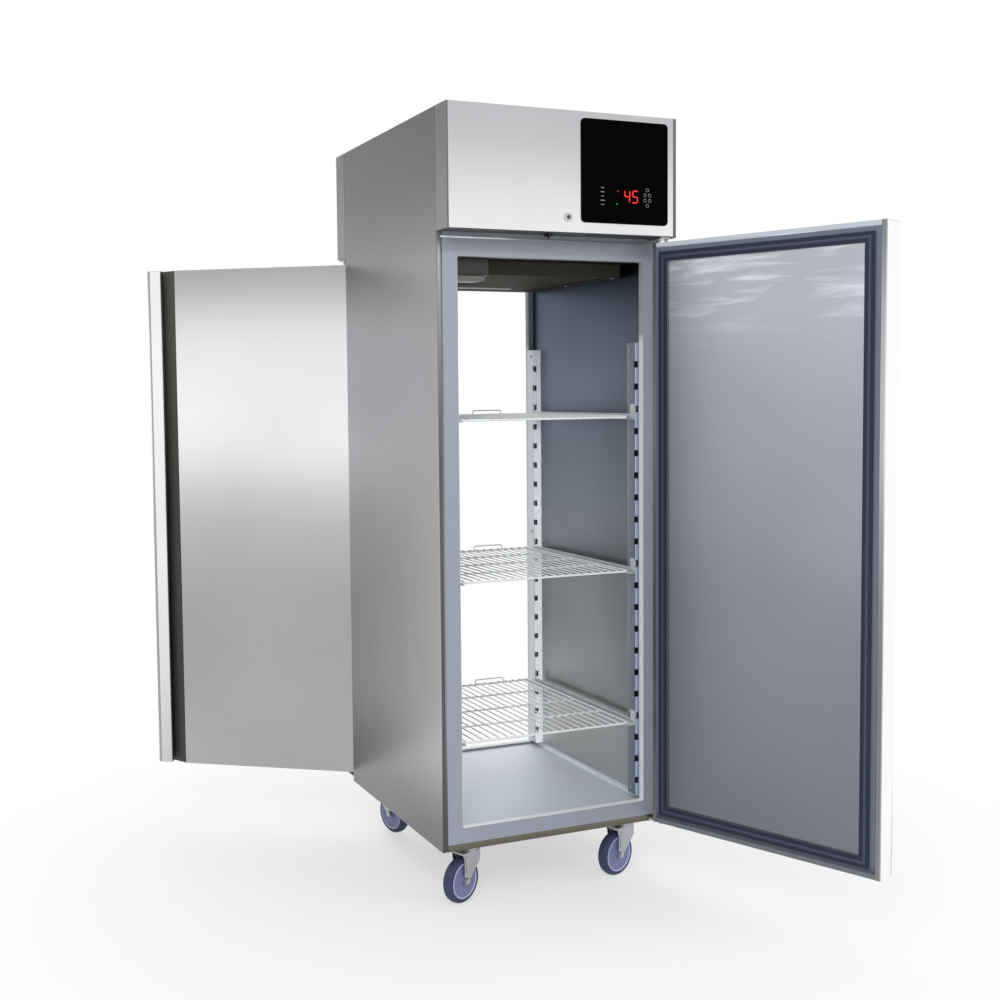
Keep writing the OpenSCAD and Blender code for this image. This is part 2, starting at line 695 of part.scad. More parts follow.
// Plates above and below the front door, each with its pin
module brackets() {
  box([hw - 44, -hd - hinge_out - 14, header_z - bracket_t], [hw - 4, -hd, header_z]);
  translate([pivot[0], pivot[1], door_z1 - pin_in]) cylinder(h = door_top_gap + pin_in, r = pin_r);
  low = door_z0 - bracket_t - 4;
  box([hw - 44, -hd - hinge_out - 14, low], [hw - 4, -hd, low + bracket_t]);
  box([hw - 44, -hd - bracket_t, 0], [hw - 4, -hd, low + bracket_t]);
  translate([pivot[0], pivot[1], low]) cylinder(h = door_z0 + pin_in - low, r = pin_r);
}
module hinge_brackets() color("#a5a5a5") {
  brackets();
  rotate(180) brackets();
}

// The door's plan outline in its own place: x from the free edge, y from the front face
skin_path = bent([[door_fold, door_t], [0, door_t], [0, 0], [lip_w, 0], [lip_w, lip_t],
  [lip_w - groove_reach, lip_t], [lip_w - groove_reach, groove_deep], [lip_w + groove_w, 0],
  [door_w, 0], [door_w, door_t], [door_w - door_fold, door_t]], bend_r, 3);

module door_plan() translate([-hw + door_gap, front_y, 0]) children();
module front_door_turn(a) translate([pivot[0], pivot[1], 0]) rotate(a)
  translate([-pivot[0], -pivot[1], 0]) children();
module at_front_door() front_door_turn(front_open) children();
module at_rear_door() rotate(180) front_door_turn(rear_open) children();

module door_skin() color("#bdbdbb") door_plan()
  translate([0, 0, door_z0]) linear_extrude(door_z1 - door_z0) fold(skin_path, sheet_t);

module door_foam() color("#e6d9a8") door_plan()
  translate([0, 0, door_z0 + cap_t]) linear_extrude(door_z1 - door_z0 - 2 * cap_t)
    polygon(side_line(skin_path, sheet_t));

module door_caps(strike) color("#55585e") door_plan()
  for (z = [door_z0, door_z1 - cap_t]) difference() {
    translate([0, 0, z]) linear_extrude(cap_t) polygon(side_line(skin_path, sheet_t));
    translate([pin_u, pin_v, z - 1]) cylinder(h = cap_t + 2, r = pin_r + run);
    if (strike) translate([hw - door_gap + lock_x - cam_w / 2 - cam_room, cam_y - front_y - cam_room,
      door_z1 - 10]) cube([lock_up + cam_w, cam_t + 2 * cam_room, 11]);
  }

// A frame of round-cornered bars on the back of the door, from inset a to inset b
module back_ring(a, b, y, t, r) upright(y, t)
  translate([0, (door_z0 + door_z1) / 2]) difference() {
    round_rect(door_w - 2 * a, door_z1 - door_z0 - 2 * a, r);
    round_rect(door_w - 2 * b, door_z1 - door_z0 - 2 * b, max(r - (b - a), 2));
  }
back_y = front_y + door_t;
gasket_a = 26;
gasket_b = 52;

module door_liner() color("#8d919b") {
  upright(back_y - sheet_t, sheet_t) translate([0, (door_z0 + door_z1) / 2])
    square([door_w - 2 * door_fold, door_z1 - door_z0 - 2 * (cap_t - sheet_t)], center = true);
  upright(back_y, 1.5) translate([0, (door_z0 + door_z1) / 2])
    round_rect(door_w - 2 * gasket_b - 8, door_z1 - door_z0 - 2 * gasket_b - 8, 6);
}

// Base strip, bellows and magnet head
module door_gasket() color("#2e3348") {
  h = gasket_space - seat;
  back_ring(door_fold + 0.5, gasket_b, back_y, 2, 4);
  back_ring(gasket_a + 5, gasket_b - 5, back_y + 2, h - 5, 6);
  back_ring(gasket_a, gasket_b, back_y + h - 3, 3, 8);
}

module front_door_skin() at_front_door() door_skin();
module front_door_foam() at_front_door() door_foam();
module front_door_liner() at_front_door() door_liner();
module front_door_gasket() at_front_door() door_gasket();
module front_door_caps() at_front_door() door_caps(true);
module rear_door_skin() at_rear_door() door_skin();
module rear_door_foam() at_rear_door() door_foam();
module rear_door_liner() at_rear_door() door_liner();
module rear_door_gasket() at_rear_door() door_gasket();
module rear_door_caps() at_rear_door() door_caps(false);

// Castors

castor_at = [for (y = [-1, 1], x = [-1, 1]) [x * (hw - castor_in_x), y * (hd - castor_in_y)]];
module at_castor(i) translate([castor_at[i][0], castor_at[i][1], 0]) rotate(castor_turn[i]) children();

// Fixed upper race, king pin and its lower head
module castor_mounts() color("#b5b5b5") for (i = [0 : 3]) at_castor(i) {
  translate([0, 0, -race_t]) cylinder(h = race_t, r = race_r);
  translate([0, 0, crown_z - 3 - seat]) cylinder(h = -crown_z + 3 + seat, r = king_r);
  translate([0, 0, crown_z - 6 - seat]) cylinder(h = 6, r = king_r + 4, $fn = 6);
}

leg_back = -22;
leg_front = trail + 12;
leg_straight = 26;

// Pressed fork: lower race, crown and two tapering legs, with the axle bolt
module castor_fork() color("#b9b9bb") {
  leg_y = fork_gap / 2;
  difference() {
    union() {
      translate([0, 0, crown_z + crown_t]) cylinder(h = -race_t - seat - crown_z - crown_t, r = race_r - 1);
      translate([0, 0, crown_z]) linear_extrude(crown_t) {
        circle(race_r);
        translate([leg_back, -leg_y - crown_t]) square([leg_front - leg_back, fork_gap + 2 * crown_t]);
      }
    }
    translate([0, 0, crown_z - 1]) cylinder(h = 30, r = king_r + run);
  }
  for (s = [-1, 1]) difference() {
    translate([0, s * (leg_y + crown_t / 2) + crown_t / 2, 0]) rotate([90, 0, 0])
      linear_extrude(crown_t) fork_leg();
    translate([trail, s * leg_y - 10, axle_z]) rotate([-90, 0, 0]) cylinder(h = 20, r = axle_r + run);
  }
  translate([trail, -leg_y - crown_t - 2, axle_z]) rotate([-90, 0, 0])
    cylinder(h = fork_gap + 2 * crown_t + 4, r = axle_r);
  for (s = [-1, 1]) translate([trail, s * (leg_y + crown_t + 2.5), axle_z]) rotate([-90, 0, 0])
    cylinder(h = 5, r = 9, $fn = 6, center = true);
}
module fork_leg() {
  polygon([[leg_back, crown_z + crown_t], [leg_front, crown_z + crown_t], [leg_front, crown_z - 4],
    [trail + 8, crown_z - 22], [trail + 8, axle_z + 4], [trail - 9, axle_z - 4],
    [leg_back, crown_z - leg_straight]]);
  translate([trail, axle_z]) circle(11);
}

hub_w = fork_gap - 2;
rim_r = wheel_d / 2 - 12;
bore_r = axle_r + run;
module at_wheel(i) at_castor(i) translate([trail, 0, axle_z]) rotate([90, 0, 0]) children();

// Wheel centre: hub, dished web and rim, turned as one profile
module wheel_core() color("#6f7599") rotate_extrude() polygon([[bore_r, -hub_w / 2], [14, -hub_w / 2],
  [16, -9], [rim_r - 12, -6], [rim_r - 6, -wheel_w / 2 + 2], [rim_r, -wheel_w / 2 + 2],
  [rim_r, wheel_w / 2 - 2], [rim_r - 6, wheel_w / 2 - 2], [rim_r - 12, 6], [16, 9],
  [14, hub_w / 2], [bore_r, hub_w / 2]]);
module wheel_tyre() color("#45496b") rotate_extrude() polygon([[rim_r, -wheel_w / 2],
  [rim_r + 5, -wheel_w / 2], [wheel_d / 2 - 2, -wheel_w / 2 + 5], [wheel_d / 2, -wheel_w / 2 + 11],
  [wheel_d / 2, wheel_w / 2 - 11], [wheel_d / 2 - 2, wheel_w / 2 - 5],
  [rim_r + 5, wheel_w / 2], [rim_r, wheel_w / 2]]);

module castor_fork_fl() at_castor(0) castor_fork();
module castor_fork_fr() at_castor(1) castor_fork();
module castor_fork_rl() at_castor(2) castor_fork();
module castor_fork_rr() at_castor(3) castor_fork();
module castor_wheel_fl() at_wheel(0) wheel_core();
module castor_wheel_fr() at_wheel(1) wheel_core();
module castor_wheel_rl() at_wheel(2) wheel_core();
module castor_wheel_rr() at_wheel(3) wheel_core();
module castor_tyre_fl() at_wheel(0) wheel_tyre();
module castor_tyre_fr() at_wheel(1) wheel_tyre();
module castor_tyre_rl() at_wheel(2) wheel_tyre();
module castor_tyre_rr() at_wheel(3) wheel_tyre();

side_panel_left();
side_panel_right();
base_panel();
insulation();
liner_walls();
liner_floor();
liner_ceiling();
front_frame();
rear_frame();
top_deck();
front_header();
rear_header();
control_glass();
control_board();
lock_barrel();
lock_plug();
door_switch();
racks_left();
racks_right();
shelf_runners();
shelf_lower();
shelf_middle();
shelf_upper();
air_duct();
interior_lamp();
evaporator_housing();
evaporator_coil();
evaporator_fan();
fan_motor();
compressor();
condenser_coil();
condenser_shroud();
condenser_fan();
electrical_box();
pipework();
hinge_brackets();
front_door_skin();
front_door_foam();
front_door_liner();
front_door_gasket();
front_door_caps();
rear_door_skin();
rear_door_foam();
rear_door_liner();
rear_door_gasket();
rear_door_caps();
castor_mounts();
castor_fork_fl();
castor_fork_fr();
castor_fork_rl();
castor_fork_rr();
castor_wheel_fl();
castor_wheel_fr();
castor_wheel_rl();
castor_wheel_rr();
castor_tyre_fl();
castor_tyre_fr();
castor_tyre_rl();
castor_tyre_rr();
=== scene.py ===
# %% [markdown]
# # A pass-through refrigerator
# Kitchens put this cabinet in a wall, so that cooks load it from one side and waiters empty it from the
# other. Its measured solids come from CAD as a fixed frame. Blender gives every surface its finish and
# adds the small pieces that a hand would notice. All sizes are metres, in the CAD's own place.

# %% Load the measured frame
from math import cos, pi, radians, sin

import bmesh
import bpy
from mathutils import Matrix, Vector


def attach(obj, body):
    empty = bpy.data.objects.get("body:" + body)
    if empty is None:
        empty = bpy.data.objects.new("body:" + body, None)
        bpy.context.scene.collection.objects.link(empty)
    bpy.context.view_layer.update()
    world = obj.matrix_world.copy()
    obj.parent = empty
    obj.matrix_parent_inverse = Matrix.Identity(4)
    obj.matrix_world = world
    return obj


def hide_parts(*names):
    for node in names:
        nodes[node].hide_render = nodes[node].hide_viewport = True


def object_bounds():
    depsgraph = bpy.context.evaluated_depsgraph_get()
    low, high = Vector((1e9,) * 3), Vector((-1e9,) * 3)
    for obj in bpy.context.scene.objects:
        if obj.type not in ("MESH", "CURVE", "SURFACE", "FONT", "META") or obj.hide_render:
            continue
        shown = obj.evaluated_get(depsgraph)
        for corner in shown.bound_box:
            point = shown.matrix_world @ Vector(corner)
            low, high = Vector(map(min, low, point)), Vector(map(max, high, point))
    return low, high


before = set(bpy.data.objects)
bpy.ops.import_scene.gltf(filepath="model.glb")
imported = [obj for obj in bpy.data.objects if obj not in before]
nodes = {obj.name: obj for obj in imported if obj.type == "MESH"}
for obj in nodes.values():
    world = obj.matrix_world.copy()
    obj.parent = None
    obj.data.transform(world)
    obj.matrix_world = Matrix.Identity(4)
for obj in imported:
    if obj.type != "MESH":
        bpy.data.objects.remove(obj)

cad_box = [list(corner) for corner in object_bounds()]
print("measured nodes:", len(nodes), "box:", [[round(v, 3) for v in c] for c in cad_box])

# %% [markdown]
# The camera stands to the left of the cabinet's front, a little above its middle, and looks slightly
# down. A long lens keeps the tall sides nearly upright. The view is built from three angles, so that the
# horizon can lean by the small amount that it does in the picture.

# %% Camera
EYE = Vector((-1.6832, -3.5630, 1.2371))
YAW, PITCH, ROLL = radians(23.23), radians(-3.78), radians(-0.61)
ahead = Vector((sin(YAW) * cos(PITCH), cos(YAW) * cos(PITCH), sin(PITCH)))
level = Vector((cos(YAW), -sin(YAW), 0))
over = level.cross(ahead)
right = cos(ROLL) * level + sin(ROLL) * over
up = cos(ROLL) * over - sin(ROLL) * level
bpy.ops.object.camera_add(location=EYE, rotation=Matrix((right, up, -ahead)).transposed().to_euler())
camera = bpy.context.object
camera.data.sensor_width = 36
camera.data.lens = 47.35
camera.data.shift_x, camera.data.shift_y = 0.0502, -0.0206
bpy.context.scene.camera = camera
bpy.context.scene.view_settings.view_transform = "Standard"
print("camera looks along", [round(v, 3) for v in ahead])

# %% [markdown]
# Colours are written as sRGB hex, as a paint chart gives them, and a shader wants linear light. One
# function turns them. A second one adds any node with its settings and links, so each material below
# reads as a short list of what feeds what.

# %% Colour and node helpers
def rgb(code):
    """sRGB hex to the linear colour of a shader."""
    parts = [int(code[k:k + 2], 16) / 255 for k in (0, 2, 4)]
    return (*[v / 12.92 if v <= 0.04045 else ((v + 0.055) / 1.055) ** 2.4 for v in parts], 1.0)


def add(mat, kind, values=None, links=None, **settings):
    """Adds one node: settings are its own switches, values its free sockets, links its fed sockets."""
    made = mat.node_tree.nodes.new("ShaderNode" + kind)
    for key, value in settings.items():
        setattr(made, key, value)
    for key, value in (values or {}).items():
        made.inputs[key].default_value = value
    for key, source in (links or {}).items():
        mat.node_tree.links.new(source, made.inputs[key])
    return made


def finish(name, colour, metallic=0.0, roughness=0.5, **sockets):
    """A new material and its shader, with the plain values set on the shader's own sockets."""
    mat = bpy.data.materials.new(name)
    mat.use_nodes = True
    shader = mat.node_tree.nodes["Principled BSDF"]
    for key, value in {"Base Color": rgb(colour), "Metallic": metallic, "Roughness": roughness,
                       **sockets}.items():
        shader.inputs[key].default_value = value
    return mat, shader


def wear(name, *parts):
    """Puts a material on CAD nodes."""
    for part in parts:
        for place in nodes[part].material_slots:
            place.material = bpy.data.materials[name]
    print(name, "on", ", ".join(parts))

# %% [markdown]
# The stage is a pale floor under white daylight. Far from the cabinet the floor fades to the same white
# as the air, so that no horizon shows, and near it the floor keeps the cabinet's shadow. Rays that a
# shiny surface sends out see that white as well, or steel would mirror a grey room.

# %% Floor
FLOOR = cad_box[0][2]
FADE_FROM, FADE_TO = 0.3, 2.0
bpy.ops.object.select_all(action="DESELECT")
bpy.ops.mesh.primitive_plane_add(size=60, location=(0, 0, FLOOR))
floor = bpy.context.object
floor.name = "floor"
bpy.ops.object.transform_apply(location=True)
mat, shader = finish("white_floor", "f1f1f1", roughness=0.85)
spot = add(mat, "TexCoord").outputs["Object"]
reach = add(mat, "VectorMath", links={0: spot}, operation="LENGTH").outputs["Value"]
far = add(mat, "MapRange", {"From Min": FADE_FROM, "From Max": FADE_TO, "To Min": 0.55, "To Max": 1.0},
          {"Value": reach}, interpolation_type="SMOOTHSTEP").outputs["Result"]
path = add(mat, "LightPath")
seen = add(mat, "Math", links={0: path.outputs["Is Camera Ray"], 1: path.outputs["Is Glossy Ray"]},
           operation="MAXIMUM").outputs["Value"]
part_white = add(mat, "Math", links={0: far, 1: seen}, operation="MULTIPLY").outputs["Value"]
glow = add(mat, "Emission", {"Color": (1, 1, 1, 1), "Strength": 1.0}).outputs["Emission"]
mixed = add(mat, "MixShader", links={0: part_white, 1: shader.outputs["BSDF"], 2: glow})
mat.node_tree.links.new(mixed.outputs["Shader"], mat.node_tree.nodes["Material Output"].inputs["Surface"])
floor.data.materials.append(mat)
print("floor at", round(FLOOR, 4))

# %% [markdown]
# The air gives a soft white light to matt surfaces and plain white to the camera, to mirrors and through
# glass. Three large lamps model the forms: a key from the left of the front, a weaker fill from the
# right, and one behind the cabinet that shines through its open doors.

# %% World and lamps
world = bpy.data.worlds.new("daylight")
bpy.context.scene.world = world
world.use_nodes = True
sky = world.node_tree.nodes["Background"]
sky.inputs["Color"].default_value = rgb("f4f6fa")
sky.inputs["Strength"].default_value = 0.62
white = add(world, "Background", {"Color": (1, 1, 1, 1), "Strength": 1.0})
path = add(world, "LightPath")
either = add(world, "Math", links={0: path.outputs["Is Camera Ray"], 1: path.outputs["Is Glossy Ray"]},
             operation="MAXIMUM")
any_ray = add(world, "Math", links={0: either.outputs[0], 1: path.outputs["Is Transmission Ray"]},
              operation="MAXIMUM")
mixed = add(world, "MixShader", links={0: any_ray.outputs[0], 1: sky.outputs[0], 2: white.outputs[0]})
world.node_tree.links.new(mixed.outputs[0], world.node_tree.nodes["World Output"].inputs["Surface"])


def softbox(name, place, aim, size, power):
    """A square lamp that looks at a point. Steel mirrors the white air and not the lamp's square."""
    turn = (Vector(aim) - Vector(place)).to_track_quat("-Z", "Y").to_euler()
    bpy.ops.object.light_add(type="AREA", location=place, rotation=turn)
    lamp = bpy.context.object
    lamp.name, lamp.data.size, lamp.data.energy = name, size, power
    lamp.visible_glossy = lamp.visible_camera = False


softbox("key", (-2.6, -4.6, 3.9), (0, 0, 0.9), 2.5, 130)
softbox("fill", (3.6, -4.0, 2.6), (0.2, -0.4, 0.9), 2.5, 60)
softbox("rear", (0.6, 4.4, 2.2), (0, 0, 0.8), 2.5, 110)

# %% [markdown]
# Most of the cabinet is 304 stainless sheet with a belt-brushed finish. The belt leaves fine scratches
# along the length of the sheet, so a lamp smears into a streak across them. Real scratches are about a
# tenth of a millimetre wide, too fine for the picture, so here they are drawn 1.5 mm wide. Tall polished
# sheets in a room also show a slow change of brightness with height, because they mirror the floor, the
# walls and the ceiling. The room here is plain, so that slow change is painted into the steel's tint as
# painted reflection and painted shade. A fold that faces another way mirrors another part of the room or
# lies in shade, so it may get a painted tint of its own. The air duct's underside is seen so flatly that any
# shine would mirror the white air, so it is given none.

# %% Brushed stainless steel
GRAIN, STROKE = 0.0015, 0.25


def brushed(name, tints, along="z", metallic=1.0, dark=0.24, light=0.36, depth=0.10, rise="Z", sway=0.05,
            folds=(), **sockets):
    """Steel tinted along an axis with painted reflection and shade: tints are (metres, hex), folds are (axis,
    side, part of the tint).
    """
    mat, shader = finish(name, tints[0][1], metallic, 0.3, **sockets)
    spot = add(mat, "TexCoord").outputs["Object"]
    size = [1 / GRAIN] * 3
    size["xyz".index(along)] = 1 / STROKE
    stretched = add(mat, "Mapping", {"Scale": size}, {"Vector": spot})
    lines = add(mat, "TexNoise", {"Scale": 1.0, "Detail": 2.0}, {"Vector": stretched.outputs[0]})
    smears = add(mat, "TexNoise", {"Scale": 2.2, "Detail": 3.0, "Roughness": 0.4}, {"Vector": spot})
    height = add(mat, "SeparateXYZ", links={0: spot}).outputs[rise]
    low, high = tints[0][0], tints[-1][0]
    share = add(mat, "MapRange", {"From Min": low, "From Max": high}, {"Value": height})
    ramp = add(mat, "ValToRGB", links={"Fac": share.outputs[0]})
    ramp.color_ramp.interpolation = "B_SPLINE" if len(tints) > 3 else "LINEAR"
    stops = ramp.color_ramp.elements
    while len(stops) < len(tints):
        stops.new(0.5)
    for stop, (z, code) in zip(stops, tints):
        stop.position, stop.color = (z - low) / (high - low), rgb(code)
    fine = add(mat, "MapRange", {"To Min": 0.96, "To Max": 1.04}, {"Value": lines.outputs["Fac"]})
    slow = add(mat, "MapRange", {"From Min": 0.3, "From Max": 0.7, "To Min": 1 - sway, "To Max": 1 + sway},
               {"Value": smears.outputs["Fac"]})
    value = add(mat, "Math", links={0: fine.outputs[0], 1: slow.outputs[0]}, operation="MULTIPLY")
    facing = add(mat, "SeparateXYZ", links={0: add(mat, "TexCoord").outputs["Normal"]})
    for axis, side, part in folds:
        fold = add(mat, "MapRange", {"From Min": side * 0.4, "From Max": side * 0.8, "To Max": part,
                                     "To Min": 1.0}, {"Value": facing.outputs[axis]})
        value = add(mat, "Math", links={0: value.outputs[0], 1: fold.outputs[0]}, operation="MULTIPLY")
    tint = add(mat, "HueSaturation", links={"Value": value.outputs[0], "Color": ramp.outputs["Color"]})
    rough = add(mat, "MapRange", {"To Min": dark, "To Max": light}, {"Value": lines.outputs["Fac"]})
    bump = add(mat, "Bump", {"Strength": depth, "Distance": 0.0001}, {"Height": lines.outputs["Fac"]})
    for socket, source in (("Base Color", tint.outputs[0]), ("Roughness", rough.outputs[0]),
                           ("Normal", bump.outputs[0])):
        mat.node_tree.links.new(source, shader.inputs[socket])
    print(name, "with", len(tints), "tints")


# Painted reflection and shade: the side darkens at the top, where it mirrors the open rear door, and its
# folds that face front and back are painted half as bright.
brushed("side_brushed_stainless", [(0.0, "7a7979"), (0.09, "838282"), (0.20, "a0a0a0"), (0.33, "c4c5c5"),
                                  (0.48, "c3c4c4"), (0.70, "c0c1c2"), (0.95, "b8bbbb"), (1.15, "a8abac"),
                                  (1.30, "a9a8ac"), (1.42, "acacae"), (1.53, "a8a8a9"), (1.62, "878787"),
                                  (1.72, "737372"), (1.83, "676563"), (1.98, "5c5a58")],
        folds=[("Y", -1, 0.50), ("Y", 1, 0.50)])
# Painted reflection and shade: the header is paler low and darker high, its ends are painted darker and its
# underside is painted dark as shade.
brushed("header_brushed_stainless", [(1.655, "f1f1f1"), (1.75, "e6e6e8"), (1.83, "d7d7d9"), (1.90, "c8c8cb"),
                                     (1.98, "c4c3c7")], along="x",
        folds=[("X", -1, 0.28), ("X", 1, 0.28), ("Z", -1, 0.12)])
# Painted reflection: the doors are brightest between 1.0 and 1.4 m; the front door's faces that turn to -X
# are painted darker as shade.
DOOR_TINTS = [(0.0, "b4b2af"), (0.24, "aeacad"), (0.57, "aca8a9"), (0.70, "b4b4b5"), (0.83, "c0c0c2"),
              (0.93, "d4d4d7"), (1.01, "e7e6e9"), (1.08, "f2f1f4"), (1.22, "f5f5f7"), (1.38, "ecebee"),
              (1.46, "e3e2e5"), (1.54, "c9cacc"), (1.61, "b3b3b3"), (1.66, "adadad")]
brushed("rear_door_stainless", DOOR_TINTS)
brushed("front_door_stainless", DOOR_TINTS, folds=[("X", -1, 0.58)])
brushed("inner_door_stainless", [(0.0, "7f8188"), (0.2, "848790"), (0.45, "8b8f97"), (0.69, "9698a3"),
                                 (0.9, "9ea4ae"), (1.2, "abb0ba"), (1.33, "b3b8c2"), (1.44, "c0c4cb"),
                                 (1.56, "bfc3ca"), (1.66, "c6c9cf")],
        dark=0.3, light=0.42)
# Painted shade and reflection: the walls are paler near the floor and darker towards the ceiling, with a
# painted shelf shadow below the upper shelves.
brushed("liner_stainless", [(0.05, "b5b4b1"), (0.2, "a4a5a4"), (0.36, "8e9294"), (0.52, "757a7e"),
                            (0.75, "787e86"), (0.97, "656d76"), (1.12, "586270"), (1.24, "626c79"),
                            (1.36, "566170"), (1.5, "435062"), (1.6, "3a475a")],
        dark=0.3, light=0.42, sway=0.14)
# Painted light: the cabinet floor is painted paler towards the back, making up for the shade deep inside.
brushed("floor_stainless", [(-0.34, "d2dbe3"), (0.0, "e6eef5"), (0.34, "eef4f9")], along="y",
        metallic=0.3, dark=0.4, light=0.5, rise="Y")
# Painted shade: ceiling and duct are painted dark brown-grey, the shadow at the top of the cabinet.
brushed("ceiling_stainless", [(1.5, "4a4640"), (1.66, "3c3932")], along="y", metallic=0.8, dark=0.4,
        light=0.5)
brushed("duct_stainless", [(1.5, "4e4a42"), (1.66, "46423a")], along="x", metallic=0.0, dark=0.6, light=0.7,
        **{"Specular IOR Level": 0.05})
# Painted light and shade: the racks are painted dark at the front and pale at the back, and their faces that
# turn to the front are painted about three times lighter.
brushed("rack_stainless", [(-0.34, "6a7584"), (-0.29, "707b89"), (0.29, "e2e4e5"), (0.34, "e6e8e9")],
        metallic=0.3, rise="Y", folds=[("Y", -1, 3.2)])
brushed("runner_stainless", [(0.0, "d9dbdd"), (1.7, "d0d4d8")], along="y", metallic=0.5)
# Painted shade: the base strip is painted dark brown, darkest at its foot near the floor.
brushed("base_stainless", [(-0.01, "5e5a4e"), (0.02, "7a766c")], along="x")
brushed("polished_stainless", [(0.0, "c4c4c6"), (0.35, "e8e8e8"), (1.2, "f6f6f8"), (1.66, "ececec")],
        dark=0.14, light=0.22)
brushed("mirror_stainless", [(0.0, "fafafa"), (1.7, "fcfcfc")], dark=0.08, light=0.14, sway=0.01)
brushed("seam_shade_stainless", [(0.0, "a6a6a9"), (1.7, "a2a1a7")], dark=0.3, light=0.4)
brushed("plain_stainless", [(-0.2, "a8a8a8"), (2.0, "b4b4b5")], along="x")
wear("side_brushed_stainless", "side_panel_left", "side_panel_right")
wear("header_brushed_stainless", "front_header", "rear_header")
wear("rear_door_stainless", "rear_door_skin")
wear("front_door_stainless", "front_door_skin")
wear("inner_door_stainless", "front_door_liner", "rear_door_liner")
wear("liner_stainless", "liner_walls")
wear("floor_stainless", "liner_floor")
wear("ceiling_stainless", "liner_ceiling")
wear("duct_stainless", "air_duct")
wear("rack_stainless", "racks_left", "racks_right")
wear("runner_stainless", "shelf_runners")
wear("base_stainless", "base_panel")
wear("plain_stainless", "top_deck", "hinge_brackets")

# %% [markdown]
# The thin sheet inside a door is never quite flat. Near the top, where it mirrors the lit header, its
# waves show as pale ripples, and these are painted highlights: a noise that is drawn out sideways and fades
# in with height brightens the tint.

# %% Painted ripple highlights at the top of the inner doors
RIPPLES_FROM, RIPPLES_FULL = 1.33, 1.52
inner = bpy.data.materials["inner_door_stainless"]
spot = add(inner, "TexCoord").outputs["Object"]
flat = add(inner, "Mapping", {"Scale": (4.5, 4.5, 38.0)}, {"Vector": spot})
waves = add(inner, "TexNoise", {"Scale": 1.0, "Detail": 4.0, "Distortion": 0.35},
            {"Vector": flat.outputs[0]})
crest = add(inner, "MapRange", {"From Min": 0.51, "From Max": 0.72, "To Min": 0.0, "To Max": 0.62},
            {"Value": waves.outputs["Fac"]})
height = add(inner, "SeparateXYZ", links={0: spot}).outputs["Z"]
high = add(inner, "MapRange", {"From Min": RIPPLES_FROM, "From Max": RIPPLES_FULL}, {"Value": height})
gain = add(inner, "Math", links={0: crest.outputs[0], 1: high.outputs[0]}, operation="MULTIPLY")
lift = add(inner, "Math", {1: 1.0}, {0: gain.outputs[0]}, operation="ADD")
tint = inner.node_tree.nodes["Hue/Saturation/Value"]
before = tint.inputs["Value"].links[0].from_socket
both = add(inner, "Math", links={0: before, 1: lift.outputs[0]}, operation="MULTIPLY")
inner.node_tree.links.new(both.outputs[0], tint.inputs["Value"])
print("ripples on", inner.name)

# %% [markdown]
# Moulded and extruded plastics have a fine matt skin from the mould's etched wall. A small noise in
# the bump and the roughness gives it, at about the half-millimetre grit of such a skin.

# %% Plastics and rubber
def moulded(name, colour, rough=0.5, grit=0.0006, depth=0.25, spread=0.04, shade=None, **sockets):
    """Plastic, rubber or paint with a fine skin: shade is (from height, to height, share of the tint)."""
    mat, shader = finish(name, colour, 0.0, rough, **sockets)
    spot = add(mat, "TexCoord").outputs["Object"]
    skin = add(mat, "TexNoise", {"Scale": 1 / grit, "Detail": 2.0}, {"Vector": spot})
    drift = add(mat, "TexNoise", {"Scale": 9.0, "Detail": 3.0}, {"Vector": spot})
    value = add(mat, "MapRange", {"To Min": 1 - spread, "To Max": 1 + spread},
                {"Value": drift.outputs["Fac"]})
    if shade:
        low, high, share = shade
        height = add(mat, "SeparateXYZ", links={0: spot}).outputs["Z"]
        dim = add(mat, "MapRange", {"From Min": low, "From Max": high, "To Min": 1.0, "To Max": share},
                  {"Value": height})
        value = add(mat, "Math", links={0: value.outputs[0], 1: dim.outputs[0]}, operation="MULTIPLY")
    tint = add(mat, "HueSaturation", {"Color": rgb(colour)}, {"Value": value.outputs[0]})
    wide = add(mat, "MapRange", {"To Min": rough - 0.07, "To Max": rough + 0.07},
               {"Value": skin.outputs["Fac"]})
    bump = add(mat, "Bump", {"Strength": depth, "Distance": 0.0002}, {"Height": skin.outputs["Fac"]})
    for socket, source in (("Base Color", tint.outputs[0]), ("Roughness", wide.outputs[0]),
                           ("Normal", bump.outputs[0])):
        mat.node_tree.links.new(source, shader.inputs[socket])
    print(name, "at", colour)


# Painted shade: the frame darkens above 1.61 m, the shadow under the header; the door caps and the seal base
# darken at their feet near the floor; the breaker strip darkens above the racks.
moulded("grey_abs_frame", "9aa0ab", 0.42, shade=(1.602, 1.612, 0.86))
moulded("navy_pvc_gasket", "262c3e", 0.5, IOR=1.52, **{"Specular IOR Level": 0.25})
moulded("slate_pvc_gasket", "3a4156", 0.5, IOR=1.52)
moulded("pale_abs_cap", "c6cdd5", 0.5, shade=(0.050, 0.038, 0.30))
# The groove's strip is painted shade, and its shade tuple paints its top lighter.
moulded("painted_groove_shade", "32302c", 0.55, shade=(0.95, 1.45, 1.9))
moulded("blue_grey_pvc", "66707f", 0.5, shade=(0.056, 0.036, 0.42))
moulded("white_abs_strip", "eef0f0", 0.4, shade=(1.37, 1.40, 0.42))
moulded("black_nylon", "232327", 0.5)
moulded("grey_polycarbonate", "201f1b", 0.35, IOR=1.58)
LIT = {"Emission Color": rgb("f4f2ea"), "IOR": 1.58}
moulded("frosted_polycarbonate", "4c4c48", 0.45, **LIT, **{"Emission Strength": 0.05})
moulded("white_polycarbonate", "8c8c88", 0.35, **LIT, **{"Emission Strength": 0.16})
moulded("embossed_housing", "c9cacc", 0.5, grit=0.003, depth=0.5)
moulded("black_fan_plastic", "2f3237", 0.45)
moulded("black_enamel", "1d1e21", 0.3, grit=0.002)
